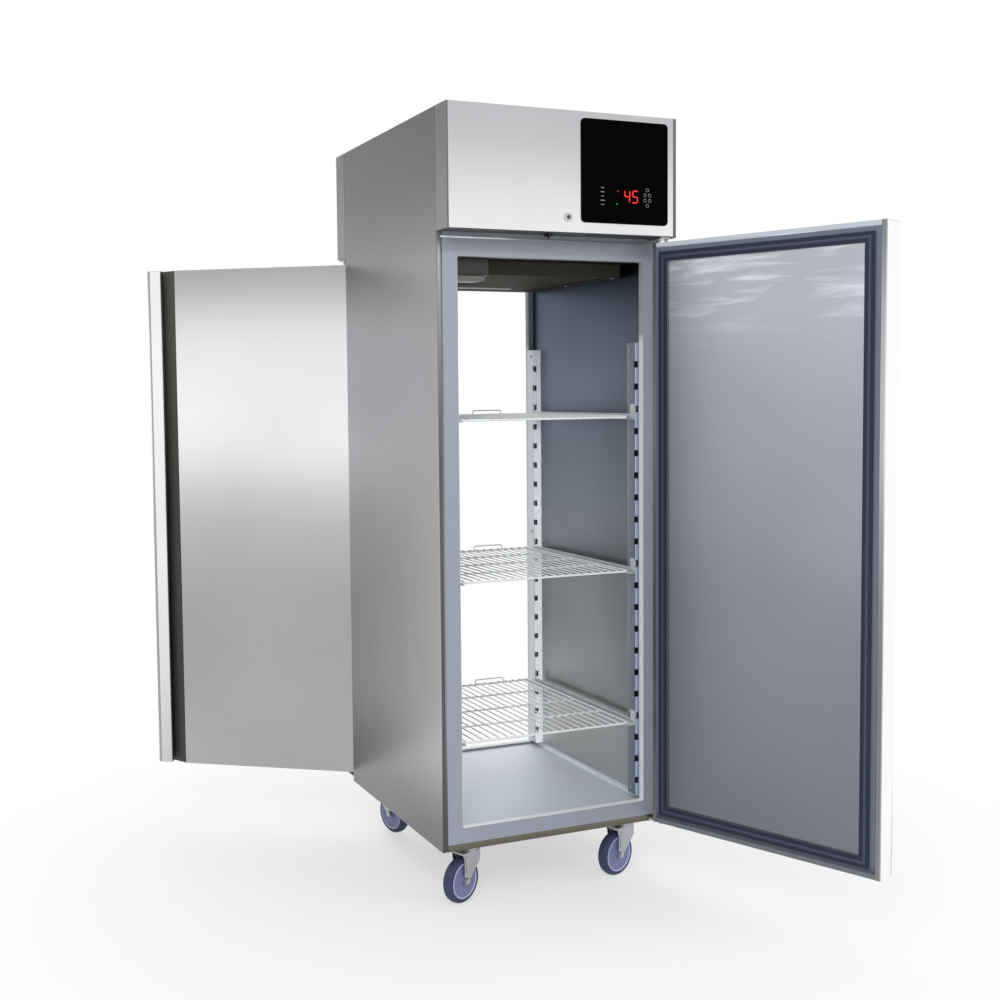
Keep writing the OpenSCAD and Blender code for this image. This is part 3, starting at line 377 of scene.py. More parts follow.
moulded("grey_powder_coat", "d0d1d3", 0.55, grit=0.001)
moulded("green_laminate", "1e4a34", 0.4)
moulded("polyurethane_foam", "e0d19a", 0.85, grit=0.002, depth=0.8)
moulded("nylon_coated_wire", "f2f5f6", 0.35)
moulded("violet_nylon_wheel", "7880a6", 0.42)
moulded("navy_rubber_tread", "353a5a", 0.6)
wear("grey_abs_frame", "front_frame", "rear_frame")
wear("navy_pvc_gasket", "front_door_gasket", "rear_door_gasket")
wear("pale_abs_cap", "front_door_caps", "rear_door_caps")
wear("black_nylon", "door_switch")
wear("grey_polycarbonate", "interior_lamp")
wear("embossed_housing", "evaporator_housing")
wear("black_fan_plastic", "evaporator_fan", "condenser_fan", "fan_motor", "condenser_shroud")
wear("black_enamel", "compressor")
wear("grey_powder_coat", "electrical_box")
wear("green_laminate", "control_board")
wear("polyurethane_foam", "insulation", "front_door_foam", "rear_door_foam")
wear("nylon_coated_wire", "shelf_lower", "shelf_middle", "shelf_upper")
CORNERS = ("fl", "fr", "rl", "rr")
wear("violet_nylon_wheel", *["castor_wheel_" + k for k in CORNERS])
wear("navy_rubber_tread", *["castor_tyre_" + k for k in CORNERS])

# %% [markdown]
# The small metals keep their own colour: drawn copper tube is warm and dulls in patches, aluminium
# fins are pale and nearly matt, zinc plate on the castors is bright with a faint crystal pattern, and
# the lock is chromed brass. The control panel is glass painted black on its back. Wiping leaves its
# gloss a little uneven, which a slow noise in the roughness gives.

# %% Metals and glass
def plated(name, colour, rough, patch=0.01, spread=0.08):
    """A metal whose tint and gloss drift in patches of a real size."""
    mat, shader = finish(name, colour, 1.0, rough)
    spot = add(mat, "TexCoord").outputs["Object"]
    cells = add(mat, "TexNoise", {"Scale": 1 / patch, "Detail": 4.0}, {"Vector": spot})
    value = add(mat, "MapRange", {"To Min": 1 - spread, "To Max": 1 + spread},
                {"Value": cells.outputs["Fac"]})
    tint = add(mat, "HueSaturation", {"Color": rgb(colour)}, {"Value": value.outputs[0]})
    gloss = add(mat, "MapRange", {"To Min": rough - 0.06, "To Max": rough + 0.08},
                {"Value": cells.outputs["Fac"]})
    mat.node_tree.links.new(tint.outputs[0], shader.inputs["Base Color"])
    mat.node_tree.links.new(gloss.outputs[0], shader.inputs["Roughness"])
    print(name, "at", colour)


plated("drawn_copper", "b87a52", 0.3)
plated("aluminium_fins", "bcbfc3", 0.4)
plated("zinc_plate", "b4b5b8", 0.3, patch=0.004)
plated("chromed_brass", "c9c9cc", 0.12, spread=0.02)
plated("dulled_brass_plug", "6a6a6e", 0.3)
wear("drawn_copper", "pipework")
wear("aluminium_fins", "evaporator_coil", "condenser_coil")
wear("zinc_plate", "castor_mounts", *["castor_fork_" + k for k in CORNERS])
wear("chromed_brass", "lock_barrel")
wear("dulled_brass_plug", "lock_plug")
mat, shader = finish("black_backed_glass", "010101", 0.0, 0.3, **{"IOR": 1.52, "Specular IOR Level": 0.02})
spot = add(mat, "TexCoord").outputs["Object"]
wiped = add(mat, "TexNoise", {"Scale": 14.0, "Detail": 4.0}, {"Vector": spot})
smudge = add(mat, "MapRange", {"To Min": 0.22, "To Max": 0.38}, {"Value": wiped.outputs["Fac"]})
mat.node_tree.links.new(smudge.outputs[0], shader.inputs["Roughness"])
wear("black_backed_glass", "control_glass")

# %% [markdown]
# New pieces are modelled as by hand: a primitive at its size and place, edit-mode operators that pull
# it into shape, and a modifier where that is quicker. An operator acts on everything that is selected,
# and the imported CAD is selected at first, so each piece starts from an empty selection. The helpers
# below start a piece, pick faces by their place or normal, copy a piece, and finish it: its object ends
# at the origin with its place in its mesh, it gets its finish, and it rides on its body.

# %% Modelling helpers
def start():
    """Object mode with nothing selected."""
    if bpy.context.object and bpy.context.object.mode != "OBJECT":
        bpy.ops.object.mode_set(mode="OBJECT")
    bpy.ops.object.select_all(action="DESELECT")


def shape_mode():
    """Places the active object's size in its mesh and enters edit mode with all of it selected."""
    bpy.ops.object.transform_apply(location=True, rotation=True, scale=True)
    bpy.ops.object.mode_set(mode="EDIT")
    bpy.ops.mesh.select_mode(type="FACE")
    bpy.ops.mesh.select_all(action="SELECT")


def pick(test, kind="faces"):
    """In edit mode, selects only the faces, edges or verts that pass the test."""
    bpy.ops.mesh.select_mode(type={"faces": "FACE", "edges": "EDGE", "verts": "VERT"}[kind])
    bpy.ops.mesh.select_all(action="DESELECT")
    shape = bmesh.from_edit_mesh(bpy.context.object.data)
    for part in getattr(shape, kind):
        part.select_set(bool(test(part)))
    bmesh.update_edit_mesh(bpy.context.object.data)


def middle(part):
    """The middle of a face or an edge."""
    return sum((v.co for v in part.verts), Vector()) / len(part.verts)


def settle(name, material, body, angle=35):
    """Names the active piece, gives it its finish, and lets it ride on its body."""
    piece = bpy.context.object
    if piece.mode != "OBJECT":
        bpy.ops.object.mode_set(mode="OBJECT")
    bpy.ops.object.transform_apply(location=True, rotation=True, scale=True)
    bpy.ops.object.shade_smooth_by_angle(angle=radians(angle))
    piece.name = piece.data.name = name
    piece.data.materials.clear()
    piece.data.materials.append(bpy.data.materials[material])
    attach(piece, body)
    print(name, "has", len(piece.data.polygons), "faces")
    return piece


def repeat(seed, places):
    """Copies a modelled piece to each place, each copy with its own mesh, and joins the copies."""
    start()
    for place in places:
        twin = seed.copy()
        twin.data = seed.data.copy()
        twin.matrix_world = place @ seed.matrix_world
        bpy.context.scene.collection.objects.link(twin)
        twin.select_set(True)
        bpy.context.view_layer.objects.active = twin
    bpy.ops.object.join()
    bpy.data.objects.remove(seed)
    return bpy.context.object


def move(x=0.0, y=0.0, z=0.0):
    return Matrix.Translation((x, y, z))


def spin(angle, axis="Z"):
    return Matrix.Rotation(radians(angle), 4, axis)

# %% [markdown]
# The doors stand open in the measured frame. A piece for a door is easiest to model on the closed door,
# square to the axes, and then to be swung about the hinge like the door itself. The rear door is the
# front one turned half round, so it swings about the same hinge by its own angle, and a half turn follows.

# %% Swings of the doors
HINGE = (0.326, -0.4215, 0)
FRONT_SWING = move(*HINGE) @ spin(112.4) @ move(-HINGE[0], -HINGE[1])
REAR_SWING = spin(180) @ move(*HINGE) @ spin(144.0) @ move(-HINGE[0], -HINGE[1])
SWINGS = {"front": FRONT_SWING, "rear": REAR_SWING}
DOOR_FRONT, DOOR_BACK = -0.4425, -0.3765
DOOR_LOW, DOOR_HIGH, DOOR_HALF = 0.018, 1.641, 0.3415
TALL, MIDDLE = DOOR_HIGH - DOOR_LOW, (DOOR_HIGH + DOOR_LOW) / 2
print("front door's back faces", [round(v, 2) for v in FRONT_SWING.to_3x3() @ Vector((0, 1, 0))])

# %% [markdown]
# A fridge gasket is a PVC extrusion with mitred corners: a flat base pressed into the door, a folded
# bellows that lets it stretch, and a head of two lips with a softer web between them, over the magnet.
# Each layer is a frame of its own width. A frame is a sheet with a smaller sheet inset and deleted,
# pulled up to its height, and with its front edges bevelled. The inset gives the corners their mitres.
# A layer's five numbers are its outer and inner inset, its lower and upper face above the door, and the
# bevel.

# %% Door gaskets
def frame_bar(outer, inner, low, high, soft):
    """A square frame on the closed door's back, from one inset to another, low to high above it."""
    start()
    bpy.ops.mesh.primitive_plane_add(size=1, location=(0, DOOR_BACK + low, MIDDLE),
                                     rotation=(radians(-90), 0, 0))
    bpy.context.object.scale = (2 * (DOOR_HALF - outer), TALL - 2 * outer, 1)
    shape_mode()
    bpy.ops.mesh.inset(thickness=inner - outer)
    bpy.ops.mesh.delete(type="FACE")
    bpy.ops.mesh.select_all(action="SELECT")
    bpy.ops.mesh.extrude_region_move(TRANSFORM_OT_translate={"value": (0, high - low, 0)})
    top = DOOR_BACK + high - 1e-5
    pick(lambda e: e.calc_face_angle(0) > 1 and min(v.co.y for v in e.verts) > top, "edges")
    bpy.ops.mesh.bevel(offset=soft, segments=3)
    bpy.ops.object.mode_set(mode="OBJECT")
    return bpy.context.object


BASE = (0.0135, 0.052, 0.0, 0.0020, 0.0006)
LAYERS = [(0.0310, 0.047, 0.0018, 0.0034, 0.0002),
          (0.0290, 0.049, 0.0030, 0.0046, 0.0006), (0.0325, 0.0455, 0.0044, 0.0058, 0.0002),
          (0.0260, 0.0355, 0.0054, 0.0086, 0.0012), (0.0425, 0.052, 0.0054, 0.0086, 0.0012)]
WEB = (0.0350, 0.0430, 0.0054, 0.0078, 0.0004)
for end, swing in SWINGS.items():
    frame_bar(*BASE).matrix_world = swing
    settle(end + "_door_seal_base", "blue_grey_pvc", end + "_door")
    frame_bar(*WEB).matrix_world = swing
    settle(end + "_door_seal_web", "slate_pvc_gasket", end + "_door")
    layers = [frame_bar(*layer) for layer in LAYERS]
    for layer in layers:
        layer.select_set(True)
    bpy.ops.object.join()
    bpy.context.object.matrix_world = swing @ bpy.context.object.matrix_world
    piece = settle(end + "_door_seal", "navy_pvc_gasket", end + "_door")
    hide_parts(end + "_door_gasket")

# %% [markdown]
# Each door is pulled by a groove pressed into its outer sheet beside the free edge. A dark strip on the
# groove's slope is painted shade, the shadow in the groove, painted lighter towards the top, and polished
# strips cover the edge that the hand wraps round. A darker line down the seam beside the edge, where the
# sheet bends, is painted shade. All are thin plates, modelled on the closed door and placed by their middle,
# inwards from the free edge and back from the door's face.

# %% Painted groove shade, seam shade and grip strips
def plate(middle_point, size, turn=0.0, soft=0.0002):
    """A thin plate with softened edges: size is width, thickness, height, turned about Z."""
    start()
    bpy.ops.mesh.primitive_cube_add(size=1, location=middle_point, rotation=(0, 0, radians(turn)))
    bpy.context.object.scale = size
    shape_mode()
    pick(lambda e: e.calc_face_angle(0) > 1, "edges")
    bpy.ops.mesh.bevel(offset=soft, segments=2)
    bpy.ops.object.mode_set(mode="OBJECT")
    return bpy.context.object


THIN, PROUD, END_GAP = 0.0006, 0.0004, 0.002
GROOVE_SLOPE = -25.35
HALF_DEEP = (DOOR_BACK - DOOR_FRONT) / 2
STRIPS = (("groove_shade_strip", (0.0588, 0.0175), (0.0790, THIN), GROOVE_SLOPE, "painted_groove_shade", "cap_grey"),
          ("grip_strip", (0.0277, -PROUD), (0.0358, THIN), 0.0, "polished_stainless", "door_steel"),
          ("edge_seam_shade", (0.0071, -PROUD), (0.0050, THIN), 0.0, "seam_shade_stainless", "door_steel"),
          ("edge_cover", (-PROUD, HALF_DEEP), (THIN, 0.0600), 0.0, "mirror_stainless", "door_steel"))
for end, swing in SWINGS.items():
    for name, (in_from_edge, back), (wide, deep), turn, material, slot in STRIPS:
        strip = plate((in_from_edge - DOOR_HALF, back + DOOR_FRONT, MIDDLE), (wide, deep, TALL - END_GAP),
                      turn)
        strip.matrix_world = swing @ strip.matrix_world
        settle(f"{end}_{name}", material, end + "_door")

# %% [markdown]
# Steel carries cold to the frame, so a plastic breaker strip covers the edge between liner and frame all
# round each opening. It is a tube of four faces with its corners rounded, given a wall by Solidify.

# %% Breaker strips
OPENING_HALF, SILL, LINTEL = 0.2839, 0.0601, 1.5959
STRIP_MIDDLE, STRIP_DEEP = 0.3565, 0.0212
for end, side in (("front", -1), ("rear", 1)):
    start()
    bpy.ops.mesh.primitive_cube_add(size=1, location=(0, side * STRIP_MIDDLE, (SILL + LINTEL) / 2))
    bpy.context.object.scale = (2 * OPENING_HALF, STRIP_DEEP, LINTEL - SILL)
    shape_mode()
    pick(lambda f: abs(f.normal.y) > 0.9)
    bpy.ops.mesh.delete(type="FACE")
    pick(lambda e: abs((e.verts[0].co - e.verts[1].co).y) > 0.01, "edges")
    bpy.ops.mesh.bevel(offset=0.005, segments=5)
    bpy.ops.object.mode_set(mode="OBJECT")
    wall = bpy.context.object.modifiers.new("wall", "SOLIDIFY")
    wall.thickness, wall.offset = 0.0008, -1
    bpy.ops.object.modifier_apply(modifier="wall")
    settle(end + "_breaker_strip", "white_abs_strip", "cabinet")

# %% [markdown]
# The control panel shows a temperature in red seven-bar digits, with grey key marks beside it and two
# small lamps. The bars sit just on the glass. One bar is modelled, a thin strip whose two ends are
# drawn to points, and copied to the places that make a 4 and a 5. The digits lean a little, as they do
# on such displays.

# %% Lit digits
GLASS_FRONT = -0.4455
BAR, THICK = 0.0150, 0.0033


def bar():
    """One bar of a digit, lying along X in the glass's plane."""
    start()
    bpy.ops.mesh.primitive_plane_add(size=1, rotation=(radians(90), 0, 0))
    bpy.context.object.scale = (BAR - THICK, THICK, 1)
    shape_mode()
    for side in (-1, 1):
        pick(lambda e: abs(middle(e).x - side * (BAR - THICK) / 2) < 1e-5, "edges")
        bpy.ops.mesh.extrude_region_move(TRANSFORM_OT_translate={"value": (side * THICK / 2, 0, 0)})
        bpy.ops.mesh.merge(type="CENTER")
    pick(lambda f: True)
    bpy.ops.mesh.extrude_region_move(TRANSFORM_OT_translate={"value": (0, -0.0002, 0)})
    bpy.ops.mesh.select_all(action="SELECT")
    bpy.ops.mesh.normals_make_consistent(inside=False)
    bpy.ops.object.mode_set(mode="OBJECT")
    return bpy.context.object


LONG = BAR + 0.0008
DIGITS_AT = 1.761
PLACES = {"a": move(z=LONG), "d": move(z=-LONG), "g": move()}
for key, across, above in (("f", -1, 1), ("b", 1, 1), ("e", -1, -1), ("c", 1, -1)):
    PLACES[key] = move(across * LONG / 2, 0, above * LONG / 2) @ spin(90, "Y")
LEAN = Matrix(((1, 0, 0.09, 0), (0, 1, 0, 0), (0, 0, 1, 0), (0, 0, 0, 1)))
spots = [move(x, GLASS_FRONT, DIGITS_AT) @ LEAN @ PLACES[k]
         for x, lit in ((0.1860, "fgbc"), (0.2110, "afgcd")) for k in lit]
moulded("red_display", "d8221a", 0.4, **{"Emission Color": rgb("ff2316"), "Emission Strength": 0.35})
repeat(bar(), spots)
settle("display_digits", "red_display", "cabinet")

# %% [markdown]
# To the left of the digits stands a column of short printed bars of several widths, and to the right six
# rings, the keys. A red and a green lamp are halves of small spheres.

# %% Key marks and signal lamps
moulded("grey_print", "7c7e83", 0.6)
PRINT = (0, -0.0002, 0)
BARS_AT, BARS_LOW, BARS_APART = 0.110, 1.7365, 0.0112
KEYS_AT, KEYS_LOW, KEYS_APART = 0.2495, 1.7390, 0.0140
start()
bpy.ops.mesh.primitive_plane_add(size=1, rotation=(radians(90), 0, 0))
bpy.context.object.scale = (0.011, 0.0022, 1)
shape_mode()
bpy.ops.mesh.bevel(offset=0.0010, segments=3, affect="VERTICES")
bpy.ops.mesh.extrude_region_move(TRANSFORM_OT_translate={"value": PRINT})
bpy.ops.mesh.select_all(action="SELECT")
bpy.ops.mesh.normals_make_consistent(inside=False)
bpy.ops.object.mode_set(mode="OBJECT")
repeat(bpy.context.object, [move(BARS_AT, GLASS_FRONT, BARS_LOW + BARS_APART * row)
                            @ Matrix.Diagonal((wide, 1, 1, 1))
                            for row, wide in enumerate((0.9, 1.3, 0.8, 1.1, 1.0))])
settle("key_marks_left", "grey_print", "cabinet")

start()
bpy.ops.mesh.primitive_circle_add(vertices=24, radius=0.0048, fill_type="NGON",
                                  rotation=(radians(90), 0, 0))
shape_mode()
bpy.ops.mesh.inset(thickness=0.0012)
bpy.ops.mesh.delete(type="FACE")
bpy.ops.mesh.select_all(action="SELECT")
bpy.ops.mesh.extrude_region_move(TRANSFORM_OT_translate={"value": PRINT})
bpy.ops.mesh.select_all(action="SELECT")
bpy.ops.mesh.normals_make_consistent(inside=False)
bpy.ops.object.mode_set(mode="OBJECT")
repeat(bpy.context.object, [move(KEYS_AT + dx, GLASS_FRONT, KEYS_LOW + KEYS_APART * row)
                            for row in range(4) for dx in ((-0.0075, 0.0075) if row in (1, 2) else (0.0,))])
settle("key_marks_right", "grey_print", "cabinet")

for name, x, z, code in (("alarm_lamp", 0.157, 1.774, "ff3322"), ("running_lamp", 0.155, 1.740, "2fd45a")):
    moulded(name + "_lens", code, 0.3, **{"Emission Color": rgb(code), "Emission Strength": 0.3})
    start()
    place = (x, GLASS_FRONT, z)
    bpy.ops.mesh.primitive_uv_sphere_add(segments=16, ring_count=8, radius=0.0016, location=place)
    shape_mode()
    bpy.ops.mesh.bisect(plane_co=place, plane_no=(0, 1, 0), use_fill=True, clear_outer=True)
    settle(name, name + "_lens", "cabinet")

# %% [markdown]
# A castor wheel of this size is a moulded nylon centre with a rubber tread. A thread guard, a smooth
# dished disc, covers each side from the hub to the rim, and a bead covers the joint to the tread; its paler
# colour is a painted highlight along the rim.
# Both are modelled on a wheel that lies flat at the origin, copied to its other side, and then stood up
# in each fork at that castor's own heading.

# %% Thread guards and beads
def wheel_trim():
    start()
    bpy.ops.mesh.primitive_torus_add(major_radius=0.0477, minor_radius=0.0026, major_segments=48,
                                     minor_segments=10, location=(0, 0, 0.0136))
    bead = bpy.context.object
    start()
    bpy.ops.mesh.primitive_cylinder_add(vertices=48, radius=0.0452, depth=0.0010, location=(0, 0, 0.0129))
    guard = bpy.context.object
    shape_mode()
    pick(lambda f: f.normal.z > 0.9)
    for width, drop in ((0.0012, 0.0007), (0.0040, -0.0005), (0.0080, -0.0012), (0.0090, -0.0008),
                        (0.0050, 0.0008), (0.0030, 0.0016)):
        bpy.ops.mesh.inset(thickness=width, depth=drop)
    bpy.ops.object.mode_set(mode="OBJECT")
    return [repeat(part, [move(), spin(180, "X")]) for part in (bead, guard)]


moulded("violet_bead_painted_highlight", "bcc0e4", 0.4)
CASTOR_X, CASTOR_Y = 0.245, 0.3185
CASTORS = {"fl": (-CASTOR_X, -CASTOR_Y, 206), "fr": (CASTOR_X, -CASTOR_Y, 199),
           "rl": (-CASTOR_X, CASTOR_Y, 286), "rr": (CASTOR_X, CASTOR_Y, 254)}
TRAIL, AXLE_AT = 0.036, -0.0935
for corner, (x, y, heading) in CASTORS.items():
    stand = move(x, y) @ spin(heading) @ move(TRAIL, 0, AXLE_AT) @ spin(90, "X")
    for part, name, nylon in zip(wheel_trim(), ("wheel_bead_", "thread_guard_"),
                                 ("violet_bead_painted_highlight", "violet_nylon_wheel")):
        start()
        part.select_set(True)
        bpy.context.view_layer.objects.active = part
        part.matrix_world = stand @ part.matrix_world
        settle(name + corner, nylon, "wheel_" + corner)

# %% [markdown]
# Thin fins do a condenser's work, a few hundred to the metre. The measured coil has a fin every 8 mm, and
# the ones between are added here. One fin is a sheet with its edges folded, copied along the tubes. At
# the coil's right end the tubes turn back in U-bends, each a circle spun half round.

# %% Condenser fins and bends
COIL = Vector((0.170, 0.215, 1.683))
COIL_WIDE, COIL_HIGH, CAD_FINS = 0.250, 0.230, 30
FIN_FROM, FIN_PITCH = 0.0005, 0.0083
start()
bpy.ops.mesh.primitive_cube_add(size=1, location=(0, 0, COIL_HIGH / 2))
fin = bpy.context.object
fin.scale = (0.00035, 0.065, 0.229)
shape_mode()
for side in (-1, 1):
    pick(lambda f: f.normal.y * side > 0.9)
    bpy.ops.mesh.extrude_region_move(TRANSFORM_OT_translate={"value": (0.0008, 0, 0)})
bpy.ops.object.mode_set(mode="OBJECT")
repeat(fin, [move(*COIL) @ move(-COIL_WIDE / 2 + FIN_FROM + FIN_PITCH * (k + part))
             for k in range(CAD_FINS) for part in (0.33, 0.67)])
settle("condenser_fins", "aluminium_fins", "cabinet")

start()
bpy.ops.mesh.primitive_circle_add(vertices=12, radius=0.0042, location=(0, -0.0165, 0),
                                  rotation=(0, radians(90), 0))
shape_mode()
bpy.ops.mesh.spin(steps=10, angle=-pi, center=(0, 0, 0), axis=(0, 0, 1))
bpy.ops.mesh.select_all(action="SELECT")
bpy.ops.mesh.fill_holes(sides=12)
bpy.ops.mesh.normals_make_consistent(inside=False)
bpy.ops.object.mode_set(mode="OBJECT")
repeat(bpy.context.object, [move(*COIL) @ move(0.130, 0, COIL_HIGH * share)
                            for share in (0.2, 0.4, 0.6, 0.8)])
settle("condenser_bends", "drawn_copper", "cabinet")

# %% [markdown]
# The compressor is a welded steel shell. Its terminals sit under a snap-on plastic cover, and grey
# conduit carries the wires from the electrical box along the deck. The conduit is a path with a round
# section, and it lies a millimetre clear of the deck.

# %% Compressor cover and conduit
PUMP = Vector((0.210, -0.210, 1.658))
start()
bpy.ops.mesh.primitive_cube_add(size=1, location=PUMP + Vector((-0.084, 0, 0.080)))
bpy.context.object.scale = (0.036, 0.062, 0.058)
shape_mode()
pick(lambda f: f.normal.x < -0.9)
bpy.ops.mesh.inset(thickness=0.006, depth=0.004)
pick(lambda e: abs(e.calc_face_angle(0)) > 0.5, "edges")
bpy.ops.mesh.bevel(offset=0.003, segments=3)
settle("terminal_cover", "black_nylon", "cabinet")


def pipe(name, points, radius, material, body):
    """A tube along a path whose corners are rounded by the curve's own handles."""
    start()
    path = bpy.data.curves.new(name, "CURVE")
    path.dimensions, path.bevel_depth = "3D", radius
    path.bevel_resolution, path.resolution_u = 4, 12
    path.use_fill_caps = True
    line = path.splines.new("BEZIER")
    line.bezier_points.add(len(points) - 1)
    for knot, place in zip(line.bezier_points, points):
        knot.co, knot.handle_left_type, knot.handle_right_type = place, "AUTO", "AUTO"
    thing = bpy.data.objects.new(name, path)
    bpy.context.scene.collection.objects.link(thing)
    thing.select_set(True)
    bpy.context.view_layer.objects.active = thing
    bpy.ops.object.convert(target="MESH")
    settle(name, material, body)


moulded("grey_pvc_conduit", "8d9096", 0.5)
DECK, CONDUIT, CLEAR = 1.658, 0.0065, 0.001
LIES = DECK + CONDUIT + CLEAR
ROUTE = [(-0.236, -0.2575, 1.748), (-0.215, -0.2575, 1.744), (-0.200, -0.262, 1.700), (-0.185, -0.270, 1.668),
         (-0.120, -0.285, LIES), (0.000, -0.285, LIES), (0.080, -0.270, LIES), (0.108, -0.235, 1.672),
         (0.116, -0.215, 1.700), (0.121, -0.210, 1.728)]
pipe("conduit", ROUTE, CONDUIT, "grey_pvc_conduit", "cabinet")

# %% [markdown]
# Screws hold what has to come off for service: the louvred rear header, the lids, the uprights. A pan
# head is a short cylinder with its rim bevelled and a recess pushed into its top. It is modelled looking
# up, and each group of copies is turned to face out of its own sheet.

# %% Pan-head screws
def screw(radius=0.0045):
    start()
    bpy.ops.mesh.primitive_cylinder_add(vertices=14, radius=radius, depth=0.0024, location=(0, 0, 0.0012))
    shape_mode()
    pick(lambda e: min(v.co.z for v in e.verts) > 0.002, "edges")
    bpy.ops.mesh.bevel(offset=0.0009, segments=3)
    pick(lambda f: f.normal.z > 0.99)
    bpy.ops.mesh.inset(thickness=radius * 0.32)
    bpy.ops.mesh.inset(thickness=radius * 0.10, depth=-0.0012)
    bpy.ops.object.mode_set(mode="OBJECT")
    return bpy.context.object


def screws(name, body, places, turn=Matrix()):
    repeat(screw(), [move(*place) @ turn for place in places])
    settle(name, "zinc_plate", body)


HEADER_BACK, HEADER_TOP = 0.4425, 1.98
RACK_FACE, RACK_SCREW = 0.275, 0.3130
DUCT_UNDER = 1.562
screws("rear_header_screws", "cabinet",
       [(x, HEADER_BACK, z) for x in (-0.325, 0.0, 0.325) for z in (1.672, 1.968)], spin(-90, "X"))
screws("top_edge_screws", "cabinet",
       [(x, y, HEADER_TOP) for x in (-0.31, 0.0, 0.31) for y in (-0.392, 0.392)])
for side, name in ((1, "right_rack_screws"), (-1, "left_rack_screws")):
    screws(name, "cabinet", [(side * RACK_FACE, end * RACK_SCREW, z) for end in (-1, 1)
                             for z in (0.086, 0.776, 1.352)], spin(-90 * side, "Y"))
screws("duct_screws", "cabinet", [(x, y, DUCT_UNDER) for x in (-0.27, 0.27) for y in (-0.222, 0.06, 0.322)],
       spin(180, "X"))

# %% [markdown]
# The evaporator sits under an insulated lid, a vacuum-formed tray with a raised middle and rolled
# edges. The electrical box has a folded cover with a lip. Both start as a block of the right size whose
# top is inset and pulled, so that the flange, the slope and the raised field follow from each other.

# %% Evaporator lid
LID_X, LID_Y, LID_UNDER, LID_THICK = -0.120, 0.060, 1.8475, 0.011
start()
bpy.ops.mesh.primitive_cube_add(size=1, location=(LID_X, LID_Y, LID_UNDER + LID_THICK / 2))
bpy.context.object.scale = (0.270, 0.410, LID_THICK)
shape_mode()
pick(lambda f: f.normal.z > 0.9)
bpy.ops.mesh.inset(thickness=0.016, depth=0.0)
bpy.ops.mesh.inset(thickness=0.008, depth=0.010)
bpy.ops.mesh.inset(thickness=0.030, depth=0.0)
bpy.ops.mesh.inset(thickness=0.005, depth=-0.005)
pick(lambda e: e.calc_face_angle(0) > 0.5, "edges")
bpy.ops.mesh.bevel(offset=0.0022, segments=3)
settle("evaporator_lid", "embossed_housing", "cabinet")
screws("lid_screws", "cabinet", [(LID_X + x, LID_Y + y, LID_UNDER + LID_THICK) for x in (-0.126, 0.126)
                                 for y in (-0.196, 0.0, 0.196)])

# %% Electrical box cover
start()
bpy.ops.mesh.primitive_cube_add(size=1, location=(-0.2975, -0.2575, 1.911))
bpy.context.object.scale = (0.0885, 0.164, 0.010)
shape_mode()
pick(lambda f: f.normal.z > 0.9)
bpy.ops.mesh.inset(thickness=0.010, depth=0.0)
bpy.ops.mesh.inset(thickness=0.003, depth=0.004)
pick(lambda e: e.calc_face_angle(0) > 0.5, "edges")
bpy.ops.mesh.bevel(offset=0.0012, segments=2)
settle("electrical_cover", "grey_powder_coat", "cabinet")
screws("cover_screws", "cabinet", [(x, y, 1.916) for x in (-0.335, -0.260) for y in (-0.332, -0.183)])

# %% [markdown]
# The lamp inside the cabinet sits behind a ribbed polycarbonate lens, which spreads its light along the
# ceiling. The ribs are rows of faces, every second one pulled out, across a subdivided plate.

# %% Lamp lens
RIB, RIBS_FROM, RIBS = 0.0025, 1.5555, 16
start()
bpy.ops.mesh.primitive_plane_add(size=1, location=(-0.235, -0.3256, 1.5755), rotation=(radians(90), 0, 0))
bpy.context.object.scale = (0.112, 0.040, 1)
shape_mode()
bpy.ops.mesh.extrude_region_move(TRANSFORM_OT_translate={"value": (0, -0.0016, 0)})
for k in range(1, RIBS):
    bpy.ops.mesh.select_all(action="SELECT")
    bpy.ops.mesh.bisect(plane_co=(0, 0, RIBS_FROM + RIB * k), plane_no=(0, 0, 1))
pick(lambda f: f.normal.y < -0.9 and int((middle(f).z - RIBS_FROM) / RIB) % 2 == 1)
bpy.ops.mesh.extrude_region_move(TRANSFORM_OT_translate={"value": (0, -0.0012, 0)})
bpy.ops.mesh.select_all(action="SELECT")
bpy.ops.mesh.normals_make_consistent(inside=False)
settle("lamp_lens", "grey_polycarbonate", "cabinet")

# %% [markdown]
# Some thin trims and the lights are left. The underside of the header ends in a narrow drip rail,
# which keeps wiped water off the door; its left part is painted bright as a highlight. Hems close the two
# ends of the header's face, where its sheet is folded back, and are painted darker as shade. Steel corner
# strips close the two sides of each frame, painted dark low and pale high as painted shade and reflection.
# A light diffuser hangs under the lamp and a long one crosses the underside of the air duct, so that the
# shelves are lit from the middle. Each is a thin plate with softened edges.

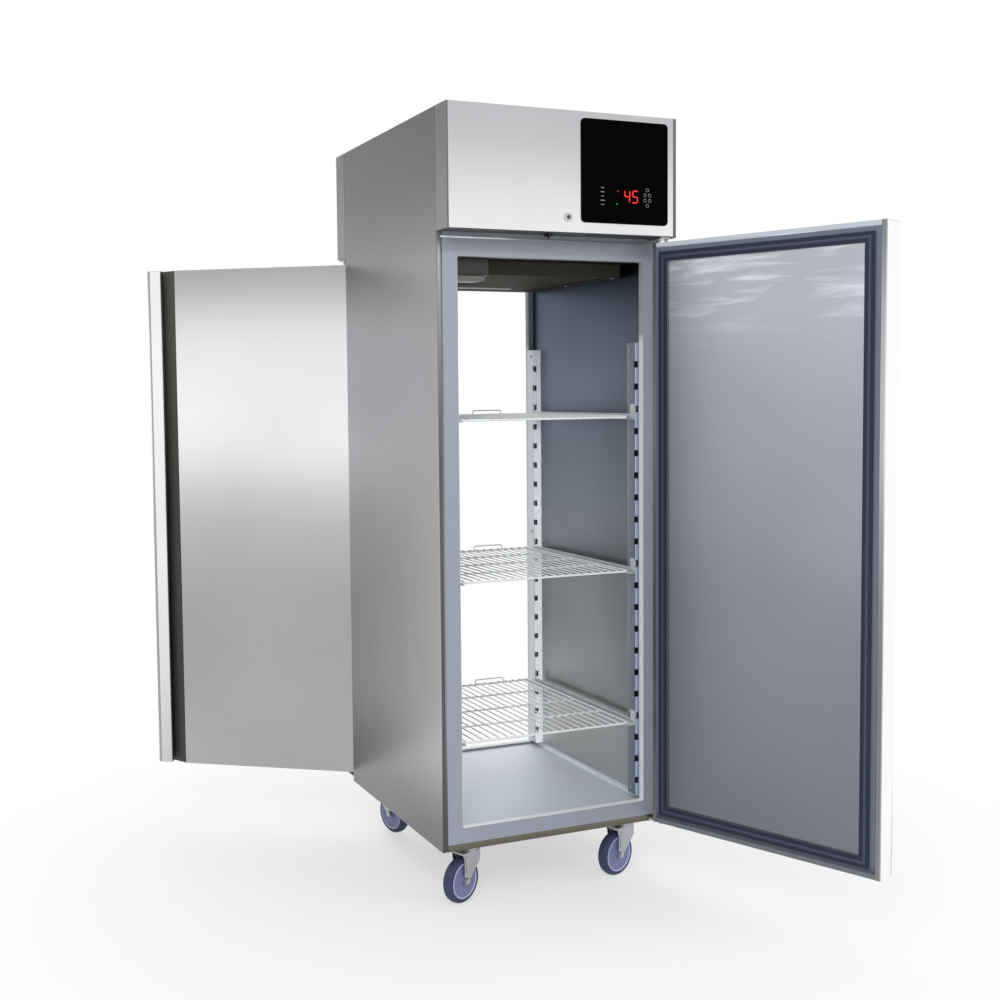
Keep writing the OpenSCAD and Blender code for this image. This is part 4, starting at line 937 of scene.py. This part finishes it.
# %% Drip rail, header hems, corner strips and light diffusers
brushed("drip_stainless", [(-0.34, "f4f6fa"), (-0.15, "eceef2"), (-0.11, "8a8b90"), (0.34, "808288")],
        along="x", metallic=0.4, rise="X")
brushed("hem_stainless", [(1.65, "6f706d"), (1.98, "7c7c7a")], dark=0.3, light=0.4)
brushed("corner_stainless", [(0.0, "5e5d60"), (1.05, "66646a"), (1.22, "7a787c"), (1.5, "a4a6a7"),
                             (1.66, "c8caca")], dark=0.3, light=0.4)
BODY_HALF, HEADER_FACE, HEADER_MIDDLE = 0.3430, -0.4428, 1.8175
plate((0, -0.3684, 1.6450), (0.664, 0.0030, 0.0050))
settle("drip_rail", "drip_stainless", "cabinet")
for side, name, wide in ((-1, "left", 0.0040), (1, "right", 0.0090)):
    plate((side * (BODY_HALF - wide / 2), HEADER_FACE, HEADER_MIDDLE), (wide, THIN, 0.3230))
    settle(name + "_header_hem", "hem_stainless", "cabinet")
for end, depth in (("front", -0.3679), ("rear", 0.3679)):
    for side, across in (("left", -0.3368), ("right", 0.3368)):
        plate((across, depth, 0.8295), (0.0096, 0.0008, 1.6550))
        settle(f"{end}_{side}_corner_strip", "corner_stainless", "cabinet")
plate((-0.032, 0.190, DUCT_UNDER - 0.0018), (0.350, 0.010, 0.0036), soft=0.0012)
settle("light_diffuser", "white_polycarbonate", "cabinet")
plate((-0.235, -0.282, 1.5430), (0.108, 0.078, 0.0140), soft=0.0030)
settle("lamp_diffuser", "frosted_polycarbonate", "cabinet")

# %% [markdown]
# A swivel castor carries its ball race in a pressed ring with a rolled edge, and its fork is stiffened by
# a long bead pressed out of each leg. The ring is a torus, and a bead is a small sphere drawn out to a
# long bar, half sunk in the leg. Both are made in the castor's own axes and turned to its heading.

# %% Castor rings and beads
LEG_OUTSIDE = 0.0220


def castor_dress():
    start()
    bpy.ops.mesh.primitive_torus_add(major_radius=0.0262, minor_radius=0.0028, major_segments=40,
                                     minor_segments=10, location=(0, 0, -0.0085))
    rolled = bpy.context.object
    beads = []
    for side in (-1, 1):
        start()
        bpy.ops.mesh.primitive_uv_sphere_add(segments=16, ring_count=10, radius=0.0035,
                                             location=(0.034, side * LEG_OUTSIDE, -0.052))
        bead = bpy.context.object
        shape_mode()
        pick(lambda v: v.co.z > -0.0519, "verts")
        bpy.ops.transform.translate(value=(0.0, 0, 0.022))
        pick(lambda v: v.co.z < -0.0521, "verts")
        bpy.ops.transform.translate(value=(0.0015, 0, -0.018))
        bpy.ops.object.mode_set(mode="OBJECT")
        beads.append(bead)
    for part in (rolled, *beads):
        part.select_set(True)
    bpy.context.view_layer.objects.active = rolled
    bpy.ops.object.join()
    return rolled


for corner, (x, y, heading) in CASTORS.items():
    dress = castor_dress()
    dress.matrix_world = move(x, y) @ spin(heading) @ dress.matrix_world
    settle("fork_beads_" + corner, "zinc_plate", "fork_" + corner)
